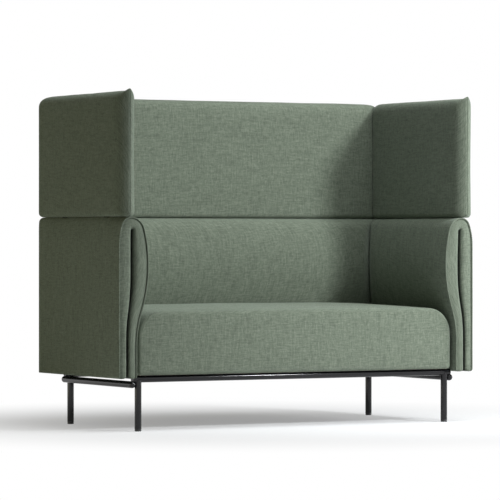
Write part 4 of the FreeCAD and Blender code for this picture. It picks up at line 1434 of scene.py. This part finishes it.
class SOFA_OT_seams(bpy.types.Operator):
    """Stitches along the front seams of the arms and screens"""

    bl_idname = "sofa.seams"
    bl_label = "Seams"

    def execute(self, context):
        look = settings(context).seam
        lines = []
        for name in ("left_arm", "left_screen"):
            piece = bpy.data.objects[name]
            line = [piece.data.vertices[index].co.copy() for index in piece["seam"]]
            lines += [line, flipped(line)]
        material = finish("thread")
        tree = beads_tree("stitches", material, *STITCH_FACETS)
        shape = (look.thread, look.thread, look.stitch)
        piece = beads_along("seam_stitches", lines, tree, look.pitch, shape, material)
        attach(piece, BODY)
        return {"FINISHED"}


class SOFA_OT_base(bpy.types.Operator):
    """Rails, legs and weld beads"""

    bl_idname = "sofa.base"
    bl_label = "Base"

    def execute(self, context):
        look = settings(context).metal
        make_rails()
        make_legs()
        material = finish("frame_black")
        tree = beads_tree("weld_ripples", material, *WELD_FACETS)
        shape = (2 * look.weld,) * 3
        piece = beads_along("weld_beads", weld_lines(), tree, look.weld_pitch, shape, material)
        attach(piece, BODY)
        return {"FINISHED"}


class SOFA_OT_feet(bpy.types.Operator):
    """Levelling feet"""

    bl_idname = "sofa.feet"
    bl_label = "Feet"

    def execute(self, context):
        make_feet()
        return {"FINISHED"}


class SOFA_OT_inner_parts(bpy.types.Operator):
    """Finishes of the boards, fittings, straps and lining that stay as they are"""

    bl_idname = "sofa.inner_parts"
    bl_label = "Inner parts"

    def execute(self, context):
        for subpart in frame["record"]["subparts"]:
            node = frame["nodes"][subpart["node"]]
            if node.hide_render:
                continue
            posts = subpart["node"].endswith("_posts")
            material = finish("post_black" if posts else subpart["material_slot"])
            for slot in node.material_slots:
                slot.material = material
        return {"FINISHED"}


class SOFA_OT_stage(bpy.types.Operator):
    """Floor, studio light and camera"""

    bl_idname = "sofa.stage"
    bl_label = "Stage"

    def execute(self, context):
        look = settings(context).stage
        make_floor(look)
        make_world(look)
        for name, kind, place, aim, values in LAMPS:
            add_lamp(name, kind, getattr(look, name), place, aim, values)
        data = bpy.data.cameras.new("camera")
        data.sensor_width = SENSOR_WIDTH
        data.lens = look.lens
        data.clip_end = SIGHT
        camera = bpy.data.objects.new("camera", data)
        camera.location = look.camera
        camera.rotation_euler = (math.pi / 2 - look.tilt, 0.0, -look.heading)
        context.scene.collection.objects.link(camera)
        context.scene.camera = camera
        context.scene.view_settings.view_transform = "Standard"
        return {"FINISHED"}


# Stage: floor, light and camera

SENSOR_WIDTH = 36.0  # millimetres
SIGHT = 100.0  # how far the camera sees
FLOOR_HALF = 30.0
FLOOR_FADE = (0.35, 1.9)  # distances from the sofa's middle over which the floor turns white
FLOOR_PAINT = (0.82, 0.82, 0.82, 1.0)
LAMP_LIGHT = (0.94, 0.97, 1.0)
AROUND_LIGHT = (1.0, 0.94, 0.54, 1.0)
WHITE = (1.0, 1.0, 1.0, 1.0)
BEAM = {"shadow_soft_size": 0.3, "spot_size": math.radians(52), "spot_blend": 1.0}
# Lamps: name, kind, place, aim and values of their own
LAMPS = (
    ("key", "SPOT", (1.70, -3.10, 2.35), (0.40, 0.0, 0.58), BEAM),
    ("top", "AREA", (0.4, -1.3, 3.9), (0.0, 0.0, 0.4), {"size": 2.4}),
    ("side", "AREA", (3.0, -1.4, 1.1), (0.6, -0.3, 0.6), {"size": 1.2}),
    ("fill", "AREA", (-3.6, 0.5, 0.7), (-0.8, 0.0, 0.65), {"size": 1.6, "color": (1.0, 0.94, 0.6)}),
)


def add_lamp(name, kind, power, place, aim, values):
    data = bpy.data.lights.new(name, kind)
    data.energy = power
    data.color = LAMP_LIGHT
    for key, value in values.items():
        setattr(data, key, value)
    lamp = bpy.data.objects.new(name, data)
    lamp.location = place
    lamp.rotation_euler = (Vector(aim) - Vector(place)).to_track_quat("-Z", "Y").to_euler()
    bpy.context.scene.collection.objects.link(lamp)


def seen_directly(nodes):
    """A factor that is 1 for rays that show a surface by sight, mirror or glass."""
    rays = nodes.add("ShaderNodeLightPath").outputs
    sight = nodes.math("MAXIMUM", rays["Is Camera Ray"], rays["Is Glossy Ray"])
    return nodes.math("MAXIMUM", sight, rays["Is Transmission Ray"])


def make_floor(look):
    half = FLOOR_HALF
    mesh = bpy.data.meshes.new("floor")
    corners = [(-half, -half, 0.0), (half, -half, 0.0), (half, half, 0.0), (-half, half, 0.0)]
    mesh.from_pydata(corners, [], [(0, 1, 2, 3)])
    material = bpy.data.materials.new("pale_floor")
    material.use_nodes = True
    nodes = Nodes(material.node_tree)
    nodes.tree.nodes.clear()
    # White of its own away from the sofa, so that floor and backdrop run together
    place = nodes.add("ShaderNodeTexCoord").outputs["Object"]
    away = nodes.add("ShaderNodeVectorMath", {0: place}, operation="LENGTH").outputs["Value"]
    near, far = FLOOR_FADE
    reach = {"Value": away, "From Min": near, "From Max": far, "To Min": look.floor_glow, "To Max": 1.0}
    fade = nodes.add("ShaderNodeMapRange", reach, interpolation_type="SMOOTHSTEP").outputs["Result"]
    part = nodes.math("MULTIPLY", seen_directly(nodes), fade)
    paint = nodes.add("ShaderNodeBsdfDiffuse", {"Color": FLOOR_PAINT}).outputs["BSDF"]
    glow = nodes.add("ShaderNodeEmission").outputs["Emission"]
    blend = nodes.add("ShaderNodeMixShader", {"Fac": part, 1: paint, 2: glow}).outputs["Shader"]
    nodes.add("ShaderNodeOutputMaterial", {"Surface": blend})
    mesh.materials.append(material)
    new_object("floor", mesh)


def make_world(look):
    world = bpy.data.worlds.new("studio")
    bpy.context.scene.world = world
    world.use_nodes = True
    nodes = Nodes(world.node_tree)
    nodes.tree.nodes.clear()
    soft = nodes.add("ShaderNodeBackground", {"Color": AROUND_LIGHT, "Strength": look.around})
    white = nodes.add("ShaderNodeBackground", {"Color": WHITE})
    parts = {"Fac": seen_directly(nodes), 1: soft.outputs["Background"], 2: white.outputs["Background"]}
    blend = nodes.add("ShaderNodeMixShader", parts).outputs["Shader"]
    nodes.add("ShaderNodeOutputWorld", {"Surface": blend})


# What is registered, in order

OPERATORS = (
    SOFA_OT_seat,
    SOFA_OT_arms,
    SOFA_OT_back,
    SOFA_OT_screens,
    SOFA_OT_seams,
    SOFA_OT_base,
    SOFA_OT_feet,
    SOFA_OT_inner_parts,
    SOFA_OT_stage,
)

GROUPS = (
    FoldSizes,
    ScreenSizes,
    SeatSizes,
    Padding,
    FabricLook,
    FrameLook,
    SeamLook,
    StageLook,
    SofaSettings,
)


class SOFA_PT_panel(bpy.types.Panel):
    """Steps of dressing the sofa, in order, and its settings"""

    bl_idname = "SOFA_PT_panel"
    bl_label = "Sofa"
    bl_space_type = "VIEW_3D"
    bl_region_type = "UI"
    bl_category = "Sofa"

    def draw(self, context):
        column = self.layout.column(align=True)
        for operator in OPERATORS:
            column.operator(operator.bl_idname)
        for name in SofaSettings.__annotations__:
            group = getattr(settings(context), name)
            box = self.layout.box()
            box.label(text=name.title())
            for key in group.__annotations__:
                box.prop(group, key)


def register():
    for kind in GROUPS + OPERATORS + (SOFA_PT_panel,):
        bpy.utils.register_class(kind)
    bpy.types.Scene.sofa = PointerProperty(type=SofaSettings)


def unregister():
    del bpy.types.Scene.sofa
    for kind in (SOFA_PT_panel,) + OPERATORS[::-1] + GROUPS[::-1]:
        bpy.utils.unregister_class(kind)


def main():
    register()
    bpy.ops.sofa.seat()
    bpy.ops.sofa.arms()
    bpy.ops.sofa.back()
    bpy.ops.sofa.screens()
    bpy.ops.sofa.seams()
    bpy.ops.sofa.base()
    bpy.ops.sofa.feet()
    bpy.ops.sofa.inner_parts()
    bpy.ops.sofa.stage()


if __name__ == "__main__":
    main()
